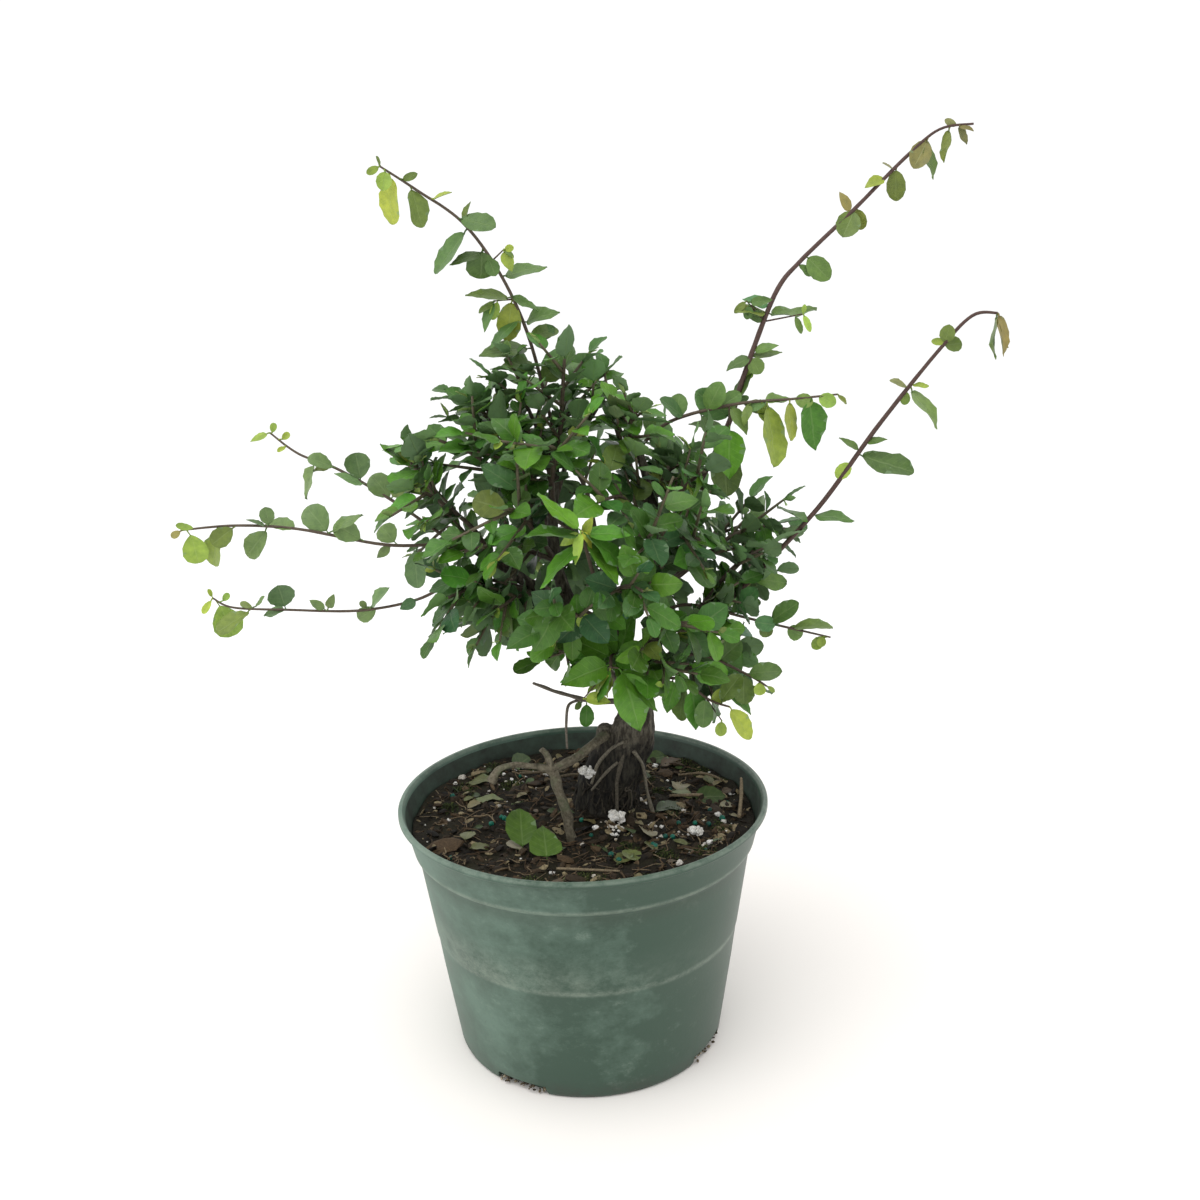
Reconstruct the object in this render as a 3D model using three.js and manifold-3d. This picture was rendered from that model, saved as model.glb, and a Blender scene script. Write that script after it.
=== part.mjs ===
// Sweet plum bonsai in its plastic nursery pot.
// Millimetres, +Z up, origin on the table under the middle of the pot. +X is to the right and
// +Y is away from the viewer. Each leafy stem is one body with its leaves grown into it.
import * as THREE from "three";
import { mergeVertices } from "three/addons/utils/BufferGeometryUtils.js";
import Module from "manifold-3d";

const wasm = await Module();
wasm.setup();

// Driving dimensions of the pot
const RIM_RADIUS = 82.5;
const POT_HEIGHT = 114.6;
const COLLAR_RADIUS = 77;
const COLLAR_Z = 98;
const WALL_TOP_RADIUS = 75;
const FOOT_RADIUS = 60.9;
const WALL = 1.6;
const FLOOR = 2.2;
const NOTCH = { count: 4, first: -31, width: 28, height: 4.6, depth: 9 };
const POT_SIDES = 40;
const COLLAR_SLOPE = 2.3;

// Soil, and the clearance kept between neighbours that touch
const SOIL_Z = 104.6;
const SOIL_SIDES = 24;
const MOUND = { x: 12, y: 0, height: 4, spread: 26 };
const GAP = 0.3;
// Corners closer than this are one corner
const MERGE = 1e-3;

// Leaves: blade thickness, fold along the midrib, droop of the tip
const BLADE = 0.62;
const FOLD = 0.16;
const DROOP = 0.1;
// Outline of a leaf as length along it and half width, from its tip round to its base
const LEAF_RIM = [[0.32, -0.96], [0.66, -0.84], [1, 0], [0.66, 0.84], [0.32, 0.96], [0, 0]];

// Crown: its middle, the leaves kept on a spray, the sides of its stems, and where leaves stand
// along a stem and along a twig
const CROWN_CENTRE = [4, 0, 226];
const CROWN_LEAVES = 5;
const SPRAY_SIDES = 3;
const STEM_LEAVES = { first: 0.25, spacing: 5 };
const TWIG_LEAVES = { first: 0.2, spacing: 4.4 };
const TWIGS = { count: 5, first: 0.32, apart: 0.14, kept: [1, 2] };
// How far a twig or a leaf may run into its own stem, in cubic millimetres
const TWIG_ROOTED = 20;
const LEAF_ROOTED = 12;
// How far back along its stem a leaf starts, so that its base is just inside the wood
const LEAF_SUNK = 0.02;
// Flatter bumps than this are left out of a finished spray
const SIMPLER = 0.05;

const COLORS = {
  pot: 0x4f6e60,
  soil: 0x2e241d,
  trunk: 0x5b5148,
  root: 0x7a6f5c,
  spray: 0x4a7a35,
  fallen: 0x66713a,
  perlite: 0xe9e6de,
};

const vec = (p) => new THREE.Vector3(...p);

// A seeded draw between 0 and 1
function seededDraw(seed) {
  const modulus = 2147483647;
  let state = (seed * 7919) % modulus;
  return () => {
    state = (state * 16807) % modulus;
    return state / modulus;
  };
}

// Solids from closed geometries, and back

function toSolid(geometry) {
  geometry.deleteAttribute("normal");
  geometry.deleteAttribute("uv");
  const merged = mergeVertices(geometry, MERGE);
  return new wasm.Manifold(new wasm.Mesh({
    numProp: 3,
    vertProperties: merged.attributes.position.array,
    triVerts: merged.index.array,
  }));
}

function toGeometry(solid) {
  const mesh = solid.getMesh();
  const geometry = new THREE.BufferGeometry();
  geometry.setAttribute("position", new THREE.BufferAttribute(mesh.vertProperties, 3));
  geometry.setIndex(new THREE.BufferAttribute(mesh.triVerts, 1));
  return geometry;
}

function joined(solids) {
  return solids.reduce((whole, solid) => whole.add(solid));
}

// The largest body of a solid, without the scraps that a cut leaves
function mainBody(solid) {
  return solid.decompose().reduce((best, body) => (body.volume() > best.volume() ? body : best));
}

// The spot at a share of the length along a stem's points, and the stem's heading there
function partWay(points, share) {
  const spots = points.map((p) => vec(p));
  const lengths = spots.slice(1).map((spot, k) => spot.distanceTo(spots[k]));
  let left = share * lengths.reduce((sum, length) => sum + length, 0);
  let k = 0;
  while (k < lengths.length - 1 && left > lengths[k]) {
    left -= lengths[k];
    k += 1;
  }
  const heading = spots[k + 1].clone().sub(spots[k]).normalize();
  return { spot: spots[k].clone().addScaledVector(heading, left), heading };
}

// A tapering stem: a cylinder with a ring at each of its points, which are [x, y, z, radius].
// swell makes it that much larger all round, ends too, for clearances.
function stemSolid(points, sides, swell = 0) {
  const spots = points.map((p) => vec(p));
  const span = spots.at(-1).clone().sub(spots[0]);
  const across = Math.abs(span.x) < Math.abs(span.y) ? vec([1, 0, 0]) : vec([0, 1, 0]);
  spots[0].addScaledVector(spots[1].clone().sub(spots[0]).normalize(), -swell);
  spots.at(-1).addScaledVector(spots.at(-1).clone().sub(spots.at(-2)).normalize(), swell);
  const rings = points.length - 1;
  const geometry = new THREE.CylinderGeometry(1, 1, 1, sides, rings);
  const place = geometry.attributes.position;
  for (let i = 0; i < place.count; i++) {
    const k = Math.round((place.getY(i) + 0.5) * rings);
    const heading = spots[Math.min(k + 1, rings)].clone().sub(spots[Math.max(k - 1, 0)]).normalize();
    const side = across.clone().addScaledVector(heading, -across.dot(heading)).normalize();
    const front = new THREE.Vector3().crossVectors(side, heading);
    const radius = points[k][3] + swell;
    const spot = spots[k].clone().addScaledVector(side, place.getX(i) * radius);
    spot.addScaledVector(front, place.getZ(i) * radius);
    place.setXYZ(i, spot.x, spot.y, spot.z);
  }
  return toSolid(geometry);
}

// A leaf blade from its base, sunk in the stem, to its tip. swell thickens it for clearance tests.
function bladeSolid(leaf, swell = 0) {
  const along = leaf.tip.clone().sub(leaf.base);
  const length = along.length() + swell;
  along.normalize();
  const up = leaf.face.clone().addScaledVector(along, -leaf.face.dot(along)).normalize();
  const side = new THREE.Vector3().crossVectors(along, up);
  const half = leaf.width / 2 + swell;
  const rim = LEAF_RIM.map(([reach, out]) => new THREE.Vector2(reach * length, out * half));
  const thick = BLADE + 2 * swell;
  const options = { depth: thick, bevelEnabled: false };
  const geometry = new THREE.ExtrudeGeometry(new THREE.Shape(rim), options);
  const place = geometry.attributes.position;
  for (let i = 0; i < place.count; i++) {
    const reach = place.getX(i) / length;
    const out = place.getY(i);
    const bend = DROOP * length * (reach - reach * reach) + FOLD * Math.abs(out);
    const spot = leaf.base.clone().addScaledVector(along, place.getX(i));
    spot.addScaledVector(side, -out);
    spot.addScaledVector(up, place.getZ(i) - thick / 2 + bend);
    place.setXYZ(i, spot.x, spot.y, spot.z);
  }
  return toSolid(geometry);
}

// Pot: thin wall, stepped collar, rolled rim, flat floor, drain notches where wall meets floor

function pot() {
  const inner = COLLAR_RADIUS + COLLAR_SLOPE;
  const outline = [
    [0, 0], [FOOT_RADIUS - 1.4, 0], [FOOT_RADIUS, 1.3],
    [WALL_TOP_RADIUS, COLLAR_Z - 2], [COLLAR_RADIUS, COLLAR_Z],
    [RIM_RADIUS - 1.7, POT_HEIGHT - 3.1], [RIM_RADIUS, POT_HEIGHT - 2.4], [RIM_RADIUS, POT_HEIGHT - 0.7],
    [RIM_RADIUS - 0.8, POT_HEIGHT], [RIM_RADIUS - 2, POT_HEIGHT - 0.2], [inner, POT_HEIGHT - 3],
    [COLLAR_RADIUS - WALL, COLLAR_Z + 0.4], [WALL_TOP_RADIUS - WALL, COLLAR_Z - 1.6],
    [FOOT_RADIUS - WALL, FLOOR], [0, FLOOR],
  ].map(([r, z]) => new THREE.Vector2(r, z));
  const lathe = new THREE.LatheGeometry(outline, POT_SIDES).rotateX(Math.PI / 2);
  let body = toSolid(lathe);
  for (let k = 0; k < NOTCH.count; k++) {
    const turn = THREE.MathUtils.degToRad(NOTCH.first + k * 360 / NOTCH.count);
    const cut = new THREE.BoxGeometry(NOTCH.depth, NOTCH.width, 2 * NOTCH.height);
    cut.translate(FOOT_RADIUS, 0, 0).rotateZ(turn);
    body = body.subtract(toSolid(cut));
  }
  return body;
}

// Soil: fills the pot to under the rim, mounded at the trunk, uneven on top

function soilHeight(x, y) {
  const far = Math.hypot(x - MOUND.x, y - MOUND.y) / MOUND.spread;
  const lumps = 0.9 * Math.sin(x * 0.13 + 1) * Math.cos(y * 0.11) + 0.5 * Math.sin(x * 0.31 - y * 0.27);
  return SOIL_Z + MOUND.height * Math.exp(-far * far) + lumps;
}

function soil() {
  const topRadius = COLLAR_RADIUS - WALL + 2 - 2 * GAP;
  const rings = [56, 34, 18];
  const outline = [
    [0, FLOOR + GAP], [FOOT_RADIUS - WALL - 2 * GAP, FLOOR + GAP],
    [WALL_TOP_RADIUS - WALL - 2 * GAP, COLLAR_Z - 1.6], [COLLAR_RADIUS - WALL - 2 * GAP, COLLAR_Z + 0.6],
    [topRadius, SOIL_Z], ...rings.map((r) => [r, SOIL_Z]), [0, SOIL_Z],
  ].map(([r, z]) => new THREE.Vector2(r, z));
  const geometry = new THREE.LatheGeometry(outline, SOIL_SIDES).rotateX(Math.PI / 2);
  const place = geometry.attributes.position;
  for (let i = 0; i < place.count; i++) {
    if (place.getZ(i) > SOIL_Z - 0.01) {
      place.setZ(i, soilHeight(place.getX(i), place.getY(i)));
    }
  }
  return toSolid(geometry);
}

// Trunk, root mass and main limbs: one piece of wood. Each row is [x, y, z, radius] along it.

const TRUNK = [[11, 5, 92, 14.5], [12, 4.5, 108, 13], [14, 4, 120, 12], [18, 3, 131, 11],
  [23, 2, 142, 10], [25, 1, 152, 8.5], [25, 1, 164, 6.5]];
const ROOT_MASS = [[5, 3, 94, 10.5], [6, 3, 106, 9.5], [7, 2, 120, 8], [10, 1, 136, 6],
  [11, 0.5, 147, 3]];
const LIMBS = {
  right: [[25, 1, 158, 5.5], [31, 2, 176, 4.3], [36, 1, 198, 3.6], [33, 1, 222, 3], [34, 3, 248, 2.4],
    [28, 4, 270, 1.8]],
  left: [[25, 1, 158, 5.2], [12, 3, 176, 3.8], [0, 4, 196, 3.3], [-8, 5, 222, 2.7], [-8, 5, 248, 2.2],
    [-6, 5, 273, 1.8]],
  farLeft: [[0, 4, 196, 2.6], [-14, 3, 208, 2.4], [-28, 0, 220, 2.1], [-41, -2, 229, 1.6]],
  low: [[26, 1, 160, 3.6], [38, 1, 174, 3], [49, 0, 188, 2]],
  front: [[25, 1, 158, 3.8], [22, -12, 176, 2.8], [16, -24, 196, 2.2], [10, -34, 216, 1.6]],
  back: [[25, 2, 160, 3.8], [22, 16, 182, 2.9], [16, 30, 204, 2.3], [10, 40, 226, 1.6]],
};
// Pale root strands that run down the root mass, and the dry twigs left on the trunk
const STRANDS = [
  [[20, -7, 143, 1.2], [17, -8, 132, 1.2], [15, -8, 121, 1.1], [15, -9, 108, 1], [15, -11, 99, 1]],
  [[19, -7, 142, 1.3], [12, -5, 137, 1.1], [7, -5.5, 131, 1], [4, -5.5, 122, 0.9]],
  [[16, -8, 133, 1], [10, -7, 127, 0.9], [4, -6, 119, 0.8]],
  [[23, -8, 138, 1.1], [27, -4, 129, 1], [28.5, -3, 118, 1], [31, -4, 107, 1], [34, -4, 99, 1]],
];
const DRY_TWIGS = [
  [[25, 1, 158, 1.8], [14, -4, 160, 1.5], [5, -8, 162, 1.4], [-9, -17, 170, 1.1], [-19, -24, 177, 0.8]],
  [[5, -8, 162, 1], [-1, -11, 163.5, 0.8], [-5, -15, 162.5, 0.9], [-6, -18, 155, 0.8],
    [-6, -20, 145.2, 0.6]],
];

function trunk(swell = 0) {
  return joined([
    stemSolid(TRUNK, 10, swell),
    stemSolid(ROOT_MASS, 8, swell),
    ...Object.values(LIMBS).map((limb) => stemSolid(limb, 6, swell)),
    ...STRANDS.map((strand) => stemSolid(strand, 3, swell)),
    ...DRY_TWIGS.map((twig) => stemSolid(twig, 3, swell)),
  ]);
}

// Exposed dead root: a bare stem that stands in the soil and forks against the root mass

const EXPOSED_ROOT = [
  [[-5, -24, 92, 2.2], [-6, -25, 108, 2.1], [-9, -26, 124, 1.9], [-12.5, -26, 138, 2.2]],
  [[-13.5, -26, 138, 2], [-3, -20, 141, 2.8], [4, -13, 143, 2.8], [11, -2, 144, 2.8]],
  [[-12, -26, 138, 1.8], [-25, -28, 142, 1.2], [-34, -30, 141.5, 1.4], [-38.5, -31, 136, 2]],
  [[-12.5, -26, 138, 1.8], [-14.5, -24, 144, 1.6], [-17, -24, 147, 1.4]],
];

function exposedRoot(swell = 0) {
  return joined(EXPOSED_ROOT.map((arm) => stemSolid(arm, 6, swell)));
}

// Long shoots and front clusters. stem rows are [x, y, z, radius]. Each leaf is [place along the
// stem from 0 to 1, length, direction in the front view in degrees clockwise from up, width seen].

const SHOOTS = {
  shoot_top_left: {
    stem: [[-6, 5, 273, 1.3], [-9, 3, 290, 1.2], [-16, 0, 320, 1.1], [-26, -4, 344, 1],
      [-39, -9, 363, 0.9], [-55, -13, 375, 0.8], [-68, -18, 384, 0.6]],
    leaves: [[0.2, 12, 50, 9], [0.24, 16, 270, 5], [0.3, 22, 270, 5], [0.34, 13, 80, 6],
      [0.38, 16, 70, 5], [0.44, 17, 195, 10], [0.48, 19, 275, 4], [0.51, 18, 70, 4], [0.59, 9, 120, 5],
      [0.61, 13, 195, 12], [0.62, 18, 255, 4], [0.71, 23, 220, 7], [0.73, 15, 100, 8],
      [0.87, 14, 180, 6], [0.93, 7, 65, 4], [0.94, 18, 200, 6], [0.98, 9, 195, 5], [1, 6, 330, 3],
      [0.46, 22, 215, 6], [0.32, 12, 60, 6], [0.22, 16, 300, 6]],
  },
  shoot_right_tall: {
    stem: [[34, 1, 214, 1.8], [42, 1, 231, 1.6], [50, 2, 247, 1.5], [66, 5, 277, 1.4],
      [74, 9, 299, 1.3], [87, 14, 330, 1.2], [98, 18, 343, 1.1], [120, 23, 362, 1],
      [143, 28, 383, 0.9], [158, 32, 394, 0.7], [173, 35, 396, 0.6]],
    leaves: [[0.27, 24, 175, 13], [0.29, 16, 280, 4], [0.31, 20, 310, 12], [0.37, 7, 80, 5],
      [0.41, 11, 260, 5], [0.42, 14, 80, 4], [0.44, 8, 125, 6], [0.49, 13, 295, 5], [0.5, 16, 275, 4],
      [0.51, 21, 90, 4], [0.53, 15, 135, 4], [0.6, 9, 135, 4], [0.61, 14, 135, 9], [0.71, 12, 315, 4],
      [0.72, 14, 210, 10], [0.74, 11, 170, 6], [0.8, 9, 255, 5], [0.81, 14, 175, 8],
      [0.88, 12, 205, 8], [0.89, 16, 160, 5], [0.94, 13, 185, 3], [0.97, 10, 150, 3], [1, 8, 110, 3]],
  },
  shoot_right_low: {
    stem: [[49, 0, 188, 1.6], [60, -2, 199, 1.4], [72, -4, 210, 1.3], [102, -9, 244, 1.2],
      [124, -14, 277, 1.1], [146, -21, 308, 0.9], [158, -25, 322, 0.8], [167, -28, 323, 0.6]],
    leaves: [[0.4, 18, 95, 4], [0.55, 9, 220, 6], [0.57, 24, 110, 9], [0.58, 10, 305, 3],
      [0.6, 9, 75, 3], [0.75, 7, 295, 3], [0.77, 20, 150, 4], [0.88, 9, 270, 4], [0.9, 8, 20, 6],
      [1, 14, 160, 4], [1, 15, 192, 4]],
  },
  shoot_left_upper: {
    stem: [[-41, -2, 229, 1.2], [-53, 5, 233, 1.1], [-77, 10, 250, 1], [-100, 13, 264, 0.9],
      [-116, 17, 270, 0.8], [-128, 20, 279, 0.6]],
    leaves: [[0.43, 10, 40, 7], [0.45, 12, 325, 8], [0.54, 15, 295, 4], [0.58, 11, 0, 10],
      [0.69, 10, 285, 4], [0.77, 11, 100, 5], [0.78, 18, 205, 4], [0.93, 6, 45, 3], [1, 9, 250, 3]],
  },
  shoot_left_middle: {
    stem: [[-28, 0, 220, 1.3], [-38, -8, 231, 1.2], [-51, -12, 235, 1.1], [-77, -17, 237, 1],
      [-111, -22, 246, 0.9], [-135, -25, 249, 0.8], [-155, -30, 249, 0.6]],
    leaves: [[0.33, 18, 180, 9], [0.38, 9, 315, 7], [0.5, 13, 310, 8], [0.58, 15, 325, 9],
      [0.59, 15, 55, 4], [0.67, 13, 285, 4], [0.75, 9, 0, 5], [0.76, 17, 225, 7], [0.85, 11, 240, 6],
      [0.9, 19, 205, 7], [0.96, 8, 285, 3], [0.98, 15, 175, 10]],
  },
  shoot_left_low: {
    stem: [[-14, 3, 208, 1.3], [-32, 3, 214, 1.2], [-49, 2, 216, 1.1], [-69, 4, 207, 1],
      [-95, 8, 202, 0.9], [-127, 10, 203, 0.8], [-150, 13, 204, 0.7], [-159, 15, 208, 0.6]],
    leaves: [[0.38, 9, 245, 5], [0.5, 12, 250, 6], [0.54, 14, 50, 5], [0.65, 10, 310, 4],
      [0.67, 10, 45, 4], [0.78, 11, 265, 5], [0.79, 12, 0, 11], [0.86, 8, 295, 4], [0.87, 18, 245, 7],
      [0.97, 19, 165, 12], [1, 6, 315, 3]],
  },
  shoot_right_upper: {
    stem: [[28, 4, 269, 1.2], [42, 1, 281, 1.1], [68, -5, 288, 1], [90, -10, 290, 0.8],
      [108, -15, 292, 0.6]],
    leaves: [[0.28, 14, 310, 6], [0.36, 25, 160, 13], [0.39, 14, 25, 9], [0.66, 12, 85, 5],
      [0.66, 24, 175, 8], [0.68, 10, 245, 4], [0.78, 17, 185, 6], [0.86, 22, 175, 9],
      [0.92, 12, 75, 4], [1, 7, 120, 4], [0.5, 18, 165, 8], [0.56, 14, 110, 6], [0.6, 20, 178, 7],
      [0.44, 12, 60, 7], [0.1, 13, 345, 6], [0.24, 11, 10, 8]],
  },
  shoot_right_middle: {
    stem: [[36, 1, 198, 1.2], [49, -5, 203, 1.1], [76, -11, 197, 0.9], [107, -17, 190, 0.6]],
    leaves: [[0.47, 16, 30, 8], [0.62, 9, 160, 6], [0.67, 15, 40, 9], [0.76, 11, 140, 6],
      [0.86, 13, 75, 6], [0.98, 12, 135, 5]],
  },
  shoot_right_front: {
    stem: [[38, 1, 174, 1.2], [51, -15, 184, 1], [70, -25, 178, 0.8], [78, -30, 174, 0.6]],
    leaves: [[0.5, 13, 30, 8], [0.72, 14, 195, 9], [0.85, 15, 70, 8], [1, 8, 130, 5]],
  },
  shoot_right_bottom: {
    stem: [[31, 1, 168, 1.1], [43, -18, 174, 0.9], [54, -27, 168, 0.8], [62, -34, 167, 0.6]],
    leaves: [[0.7, 12, 205, 8], [0.78, 12, 60, 5], [1, 20, 145, 9], [0.9, 15, 40, 8]],
  },
  cluster_front: {
    stem: [[10, -34, 216, 1.3], [6, -46, 234, 1.2], [3, -60, 250, 1]],
    leaves: [[0.9, 10, 25, 5], [0.96, 10, 240, 4], [1, 13, 190, 5], [0.94, 19, 95, 5],
      [0.88, 22, 145, 6], [0.98, 22, 310, 8], [0.92, 23, 275, 6], [0.98, 25, 130, 9],
      [0.86, 25, 230, 8]],
  },
  cluster_bottom: {
    stem: [[22, -12, 176, 1.3], [19, -24, 185, 1.2], [14, -36, 192, 1.1], [13, -46, 190, 1]],
    leaves: [[0.5, 22, 140, 10], [0.6, 20, 320, 8], [0.7, 20, 80, 9], [0.8, 20, 300, 7],
      [0.92, 22, 255, 10], [1, 16, 195, 10], [0.97, 25, 160, 13], [0.9, 27, 142, 10],
      [0.75, 16, 110, 8]],
  },
};

// Crown sprays: where each leaves its limb, and where its tip reaches

const CROWN = {
  crown_top_1: [[-8, 5, 250], [-19, 8, 301]],
  crown_top_2: [[-7, 5, 258], [-1, -8, 309]],
  crown_top_3: [[33, 1, 222], [17, -4, 288]],
  crown_left_1: [[-8, 5, 240], [-40, 6, 289]],
  crown_left_2: [[-8, 5, 230], [-52, -22, 280]],
  crown_left_3: [[-34, -1, 224], [-62, -28, 262]],
  crown_left_4: [[-21, 2, 214], [-62, 20, 236]],
  crown_left_5: [[-12, 3.2, 206], [-52, -26, 216]],
  crown_left_6: [[2, 4, 193], [-42, -8, 200]],
  crown_low: [[12, 3, 176], [-8, -22, 190]],
  crown_front_1: [[-8, 5, 222], [-26, -54, 258]],
  crown_front_2: [[36, 1, 204], [30, -52, 246]],
  crown_front_3: [[17, -22, 193], [-12, -54, 216]],
  crown_front_4: [[20, -16, 183], [44, -46, 208]],
  crown_front_5: [[-8, 5, 246], [-8, -44, 280]],
  crown_right_1: [[33, 2, 232], [54, -22, 264]],
  crown_right_2: [[35, 1, 207], [87, 8, 234]],
  crown_right_3: [[42, 0.8, 179], [80, 20, 215]],
  crown_right_4: [[34, 1, 169], [70, 6, 180]],
  crown_back_1: [[10, 40, 226], [-4, 62, 266]],
  crown_back_2: [[13, 35, 215], [-36, 60, 238]],
  crown_back_3: [[15, 32, 207], [50, 60, 238]],
  crown_back_4: [[19, 24, 195], [12, 66, 204]],
  crown_back_5: [[34, 3, 240], [44, 32, 262]],
  crown_back_6: [[-8, 5, 234], [-38, 40, 274]],
  crown_back_7: [[21, 18, 185], [-40, 42, 204]],
};

// Leaves of a long shoot: its rows say where, the width seen says how far each leaf is turned
function shootLeaves(shoot) {
  const viewer = vec([0, -0.97, 0.25]);
  return shoot.leaves.map(([at, length, clock, seen], k) => {
    const turn = THREE.MathUtils.degToRad(clock);
    const lean = k % 2 === 0 ? -0.3 : 0.2;
    const along = vec([Math.sin(turn), lean, Math.cos(turn)]).normalize();
    const width = Math.max(seen, 0.56 * length);
    const facing = Math.min(1, seen / width);
    const edge = new THREE.Vector3().crossVectors(along, viewer).normalize();
    edge.multiplyScalar(edge.z < 0 ? -1 : 1);
    const face = viewer.clone().multiplyScalar(facing);
    face.addScaledVector(edge, Math.sqrt(1 - facing * facing));
    const base = partWay(shoot.stem, at).spot;
    return { base, tip: base.clone().addScaledVector(along, length), width, face };
  });
}

// The wood of a crown spray: an arching stem with straight side twigs, alternately left and right
function crownWood([start, tip], draw) {
  const from = vec(start);
  const reach = vec(tip).sub(from);
  const arch = 0.09 * reach.length();
  const bends = [[0.36, 0.8], [0.7, 1]].map(([part, lift]) => {
    const spot = from.clone().addScaledVector(reach, part);
    spot.add(vec([draw() - 0.5, draw() - 0.5, 0]).multiplyScalar(arch));
    spot.z += lift * arch;
    return spot;
  });
  const spots = [from, ...bends, vec(tip)];
  const stem = spots.map((spot, k) => [...spot.toArray(), 1.25 - 0.2 * k]);
  const twigs = [];
  for (let k = 0; k < TWIGS.count; k++) {
    const { spot: root, heading: along } = partWay(stem, TWIGS.first + TWIGS.apart * k);
    const outward = root.clone().sub(vec(CROWN_CENTRE)).normalize();
    const sideways = new THREE.Vector3().crossVectors(along, outward).normalize();
    const heading = along.clone().multiplyScalar(0.55);
    heading.addScaledVector(sideways, k % 2 === 0 ? 0.85 : -0.85);
    heading.addScaledVector(outward, 0.15 + 0.4 * draw());
    heading.z += 0.5 * (draw() - 0.4);
    heading.normalize();
    const end = root.clone().addScaledVector(heading, (0.3 + 0.14 * draw()) * reach.length());
    twigs.push([[...root.toArray(), 0.85], [...end.toArray(), 0.5]]);
  }
  return { stem, twigs };
}

// Leaves along one stem or twig: alternate, with one at the end, faces up and outward
function axisLeaves(points, { first, spacing }, draw) {
  const span = points.slice(1).reduce((sum, p, k) => sum + vec(p).distanceTo(vec(points[k])), 0);
  const run = span * (1 - first);
  const count = Math.max(2, Math.round(run / spacing));
  const leaves = [];
  for (let k = 0; k <= count; k++) {
    const { spot: base, heading: along } = partWay(points, first + (1 - first) * k / count);
    base.addScaledVector(along, -LEAF_SUNK);
    const outward = base.clone().sub(vec(CROWN_CENTRE)).normalize();
    const face = outward.clone();
    face.z += 0.45;
    face.add(vec([draw() - 0.5, draw() - 0.5, draw() - 0.5]).multiplyScalar(0.9));
    const sideways = new THREE.Vector3().crossVectors(along, face).normalize();
    const swing = k === count ? 0.15 * (draw() - 0.5) : (k % 2 === 0 ? 1 : -1) * (0.75 + 0.35 * draw());
    const heading = along.clone().multiplyScalar(k === count ? 1 : 0.6);
    heading.addScaledVector(sideways, swing);
    heading.z -= 0.25 * draw();
    heading.normalize();
    const length = 10 + 7 * draw();
    const width = length * (0.6 + 0.16 * draw());
    leaves.push({ base, tip: base.clone().addScaledVector(heading, length), width, face });
  }
  return leaves;
}

function crownLeaves({ stem, twigs }, draw) {
  const onTwigs = (twig) => axisLeaves(twig, TWIG_LEAVES, draw);
  return [axisLeaves(stem, STEM_LEAVES, draw), ...twigs.map(onTwigs)];
}

// Rows of leaves in turn, each from its tip inward
function fromTips(rows) {
  const longest = Math.max(...rows.map((row) => row.length));
  const order = [];
  for (let k = 1; k <= longest; k++) {
    rows.forEach((row) => order.push(...row.slice(row.length - k, row.length - k + 1)));
  }
  return order;
}

// What lies on the soil: fallen leaves, each from its stalk end, and clumps of perlite as the middle
// of the clump, its three grains' radii, and how far each is from the middle

const FALLEN_LEAVES = [
  { x: -27, y: -33, length: 18, width: 15, heading: 95, tilt: 28 },
  { x: -15, y: -43, length: 17, width: 13, heading: 85, tilt: 22 },
  { x: -51, y: 19, length: 14, width: 8, heading: 0, tilt: 2 },
  { x: 42, y: 19, length: 13, width: 8, heading: -55, tilt: 3 },
  { x: 22, y: -48, length: 11, width: 8, heading: 120, tilt: 4 },
];
const PERLITE = [
  { at: [1.5, -5.5, 128], grains: [2.9, 2.2, 1.9], apart: 1.7 },
  { at: [14, -16, 112], grains: [2.8, 2.3, 2.1], apart: 2 },
  { at: [48, -25, 110], grains: [2.3, 1.8, 1.6], apart: 1.5 },
];

// Lowers a solid onto the soil, in small steps, to where it would touch
function restOn(solid, ground) {
  const step = 0.2;
  const reach = 12;
  let lift = reach;
  while (lift > -reach && solid.translate([0, 0, lift - step]).intersect(ground).volume() === 0) {
    lift -= step;
  }
  return solid.translate([0, 0, lift + GAP - step]);
}

function fallenLeaf({ x, y, length, width, heading, tilt }) {
  const turn = THREE.MathUtils.degToRad(heading);
  const rise = THREE.MathUtils.degToRad(tilt);
  const level = Math.cos(rise);
  const heads = vec([Math.cos(turn) * level, Math.sin(turn) * level, Math.sin(rise)]);
  const base = vec([x, y, SOIL_Z + MOUND.height]);
  const tip = base.clone().addScaledVector(heads, length);
  return bladeSolid({ base, tip, width, face: vec([0, 0, 1]) });
}

function perliteClump({ at, grains, apart }) {
  return joined(grains.map((radius, k) => {
    const grain = new THREE.IcosahedronGeometry(radius, 0);
    const turn = 2.1 * k;
    grain.translate(at[0] + apart * Math.cos(turn), at[1] + apart * Math.sin(turn), at[2] + 0.5 * k);
    return toSolid(grain);
  }));
}

// Placing: what is already there, and whether a new solid is clear of it

const placed = [];

function isClear(solid, owner, allowance) {
  const box = solid.boundingBox();
  return placed.every((other) => {
    const apart = [0, 1, 2].some((i) => other.box.min[i] > box.max[i] || other.box.max[i] < box.min[i]);
    return apart || solid.intersect(other.solid).volume() <= (other.owner === owner ? allowance : 0);
  });
}

function remember(solid, owner) {
  placed.push({ solid, owner, box: solid.boundingBox() });
}

const bonsai = new THREE.Group();
bonsai.name = "sweet_plum_bonsai";

function addMesh(name, solid, color, roughness) {
  const material = new THREE.MeshStandardMaterial({ color, roughness, metalness: 0 });
  const mesh = new THREE.Mesh(toGeometry(solid), material);
  mesh.name = name;
  bonsai.add(mesh);
}

const potBody = pot();
const trunkClear = trunk(GAP);
const rootBody = exposedRoot().subtract(trunkClear);
const rootClear = exposedRoot(GAP);
const soilBody = soil().subtract(trunkClear).subtract(rootClear);

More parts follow.
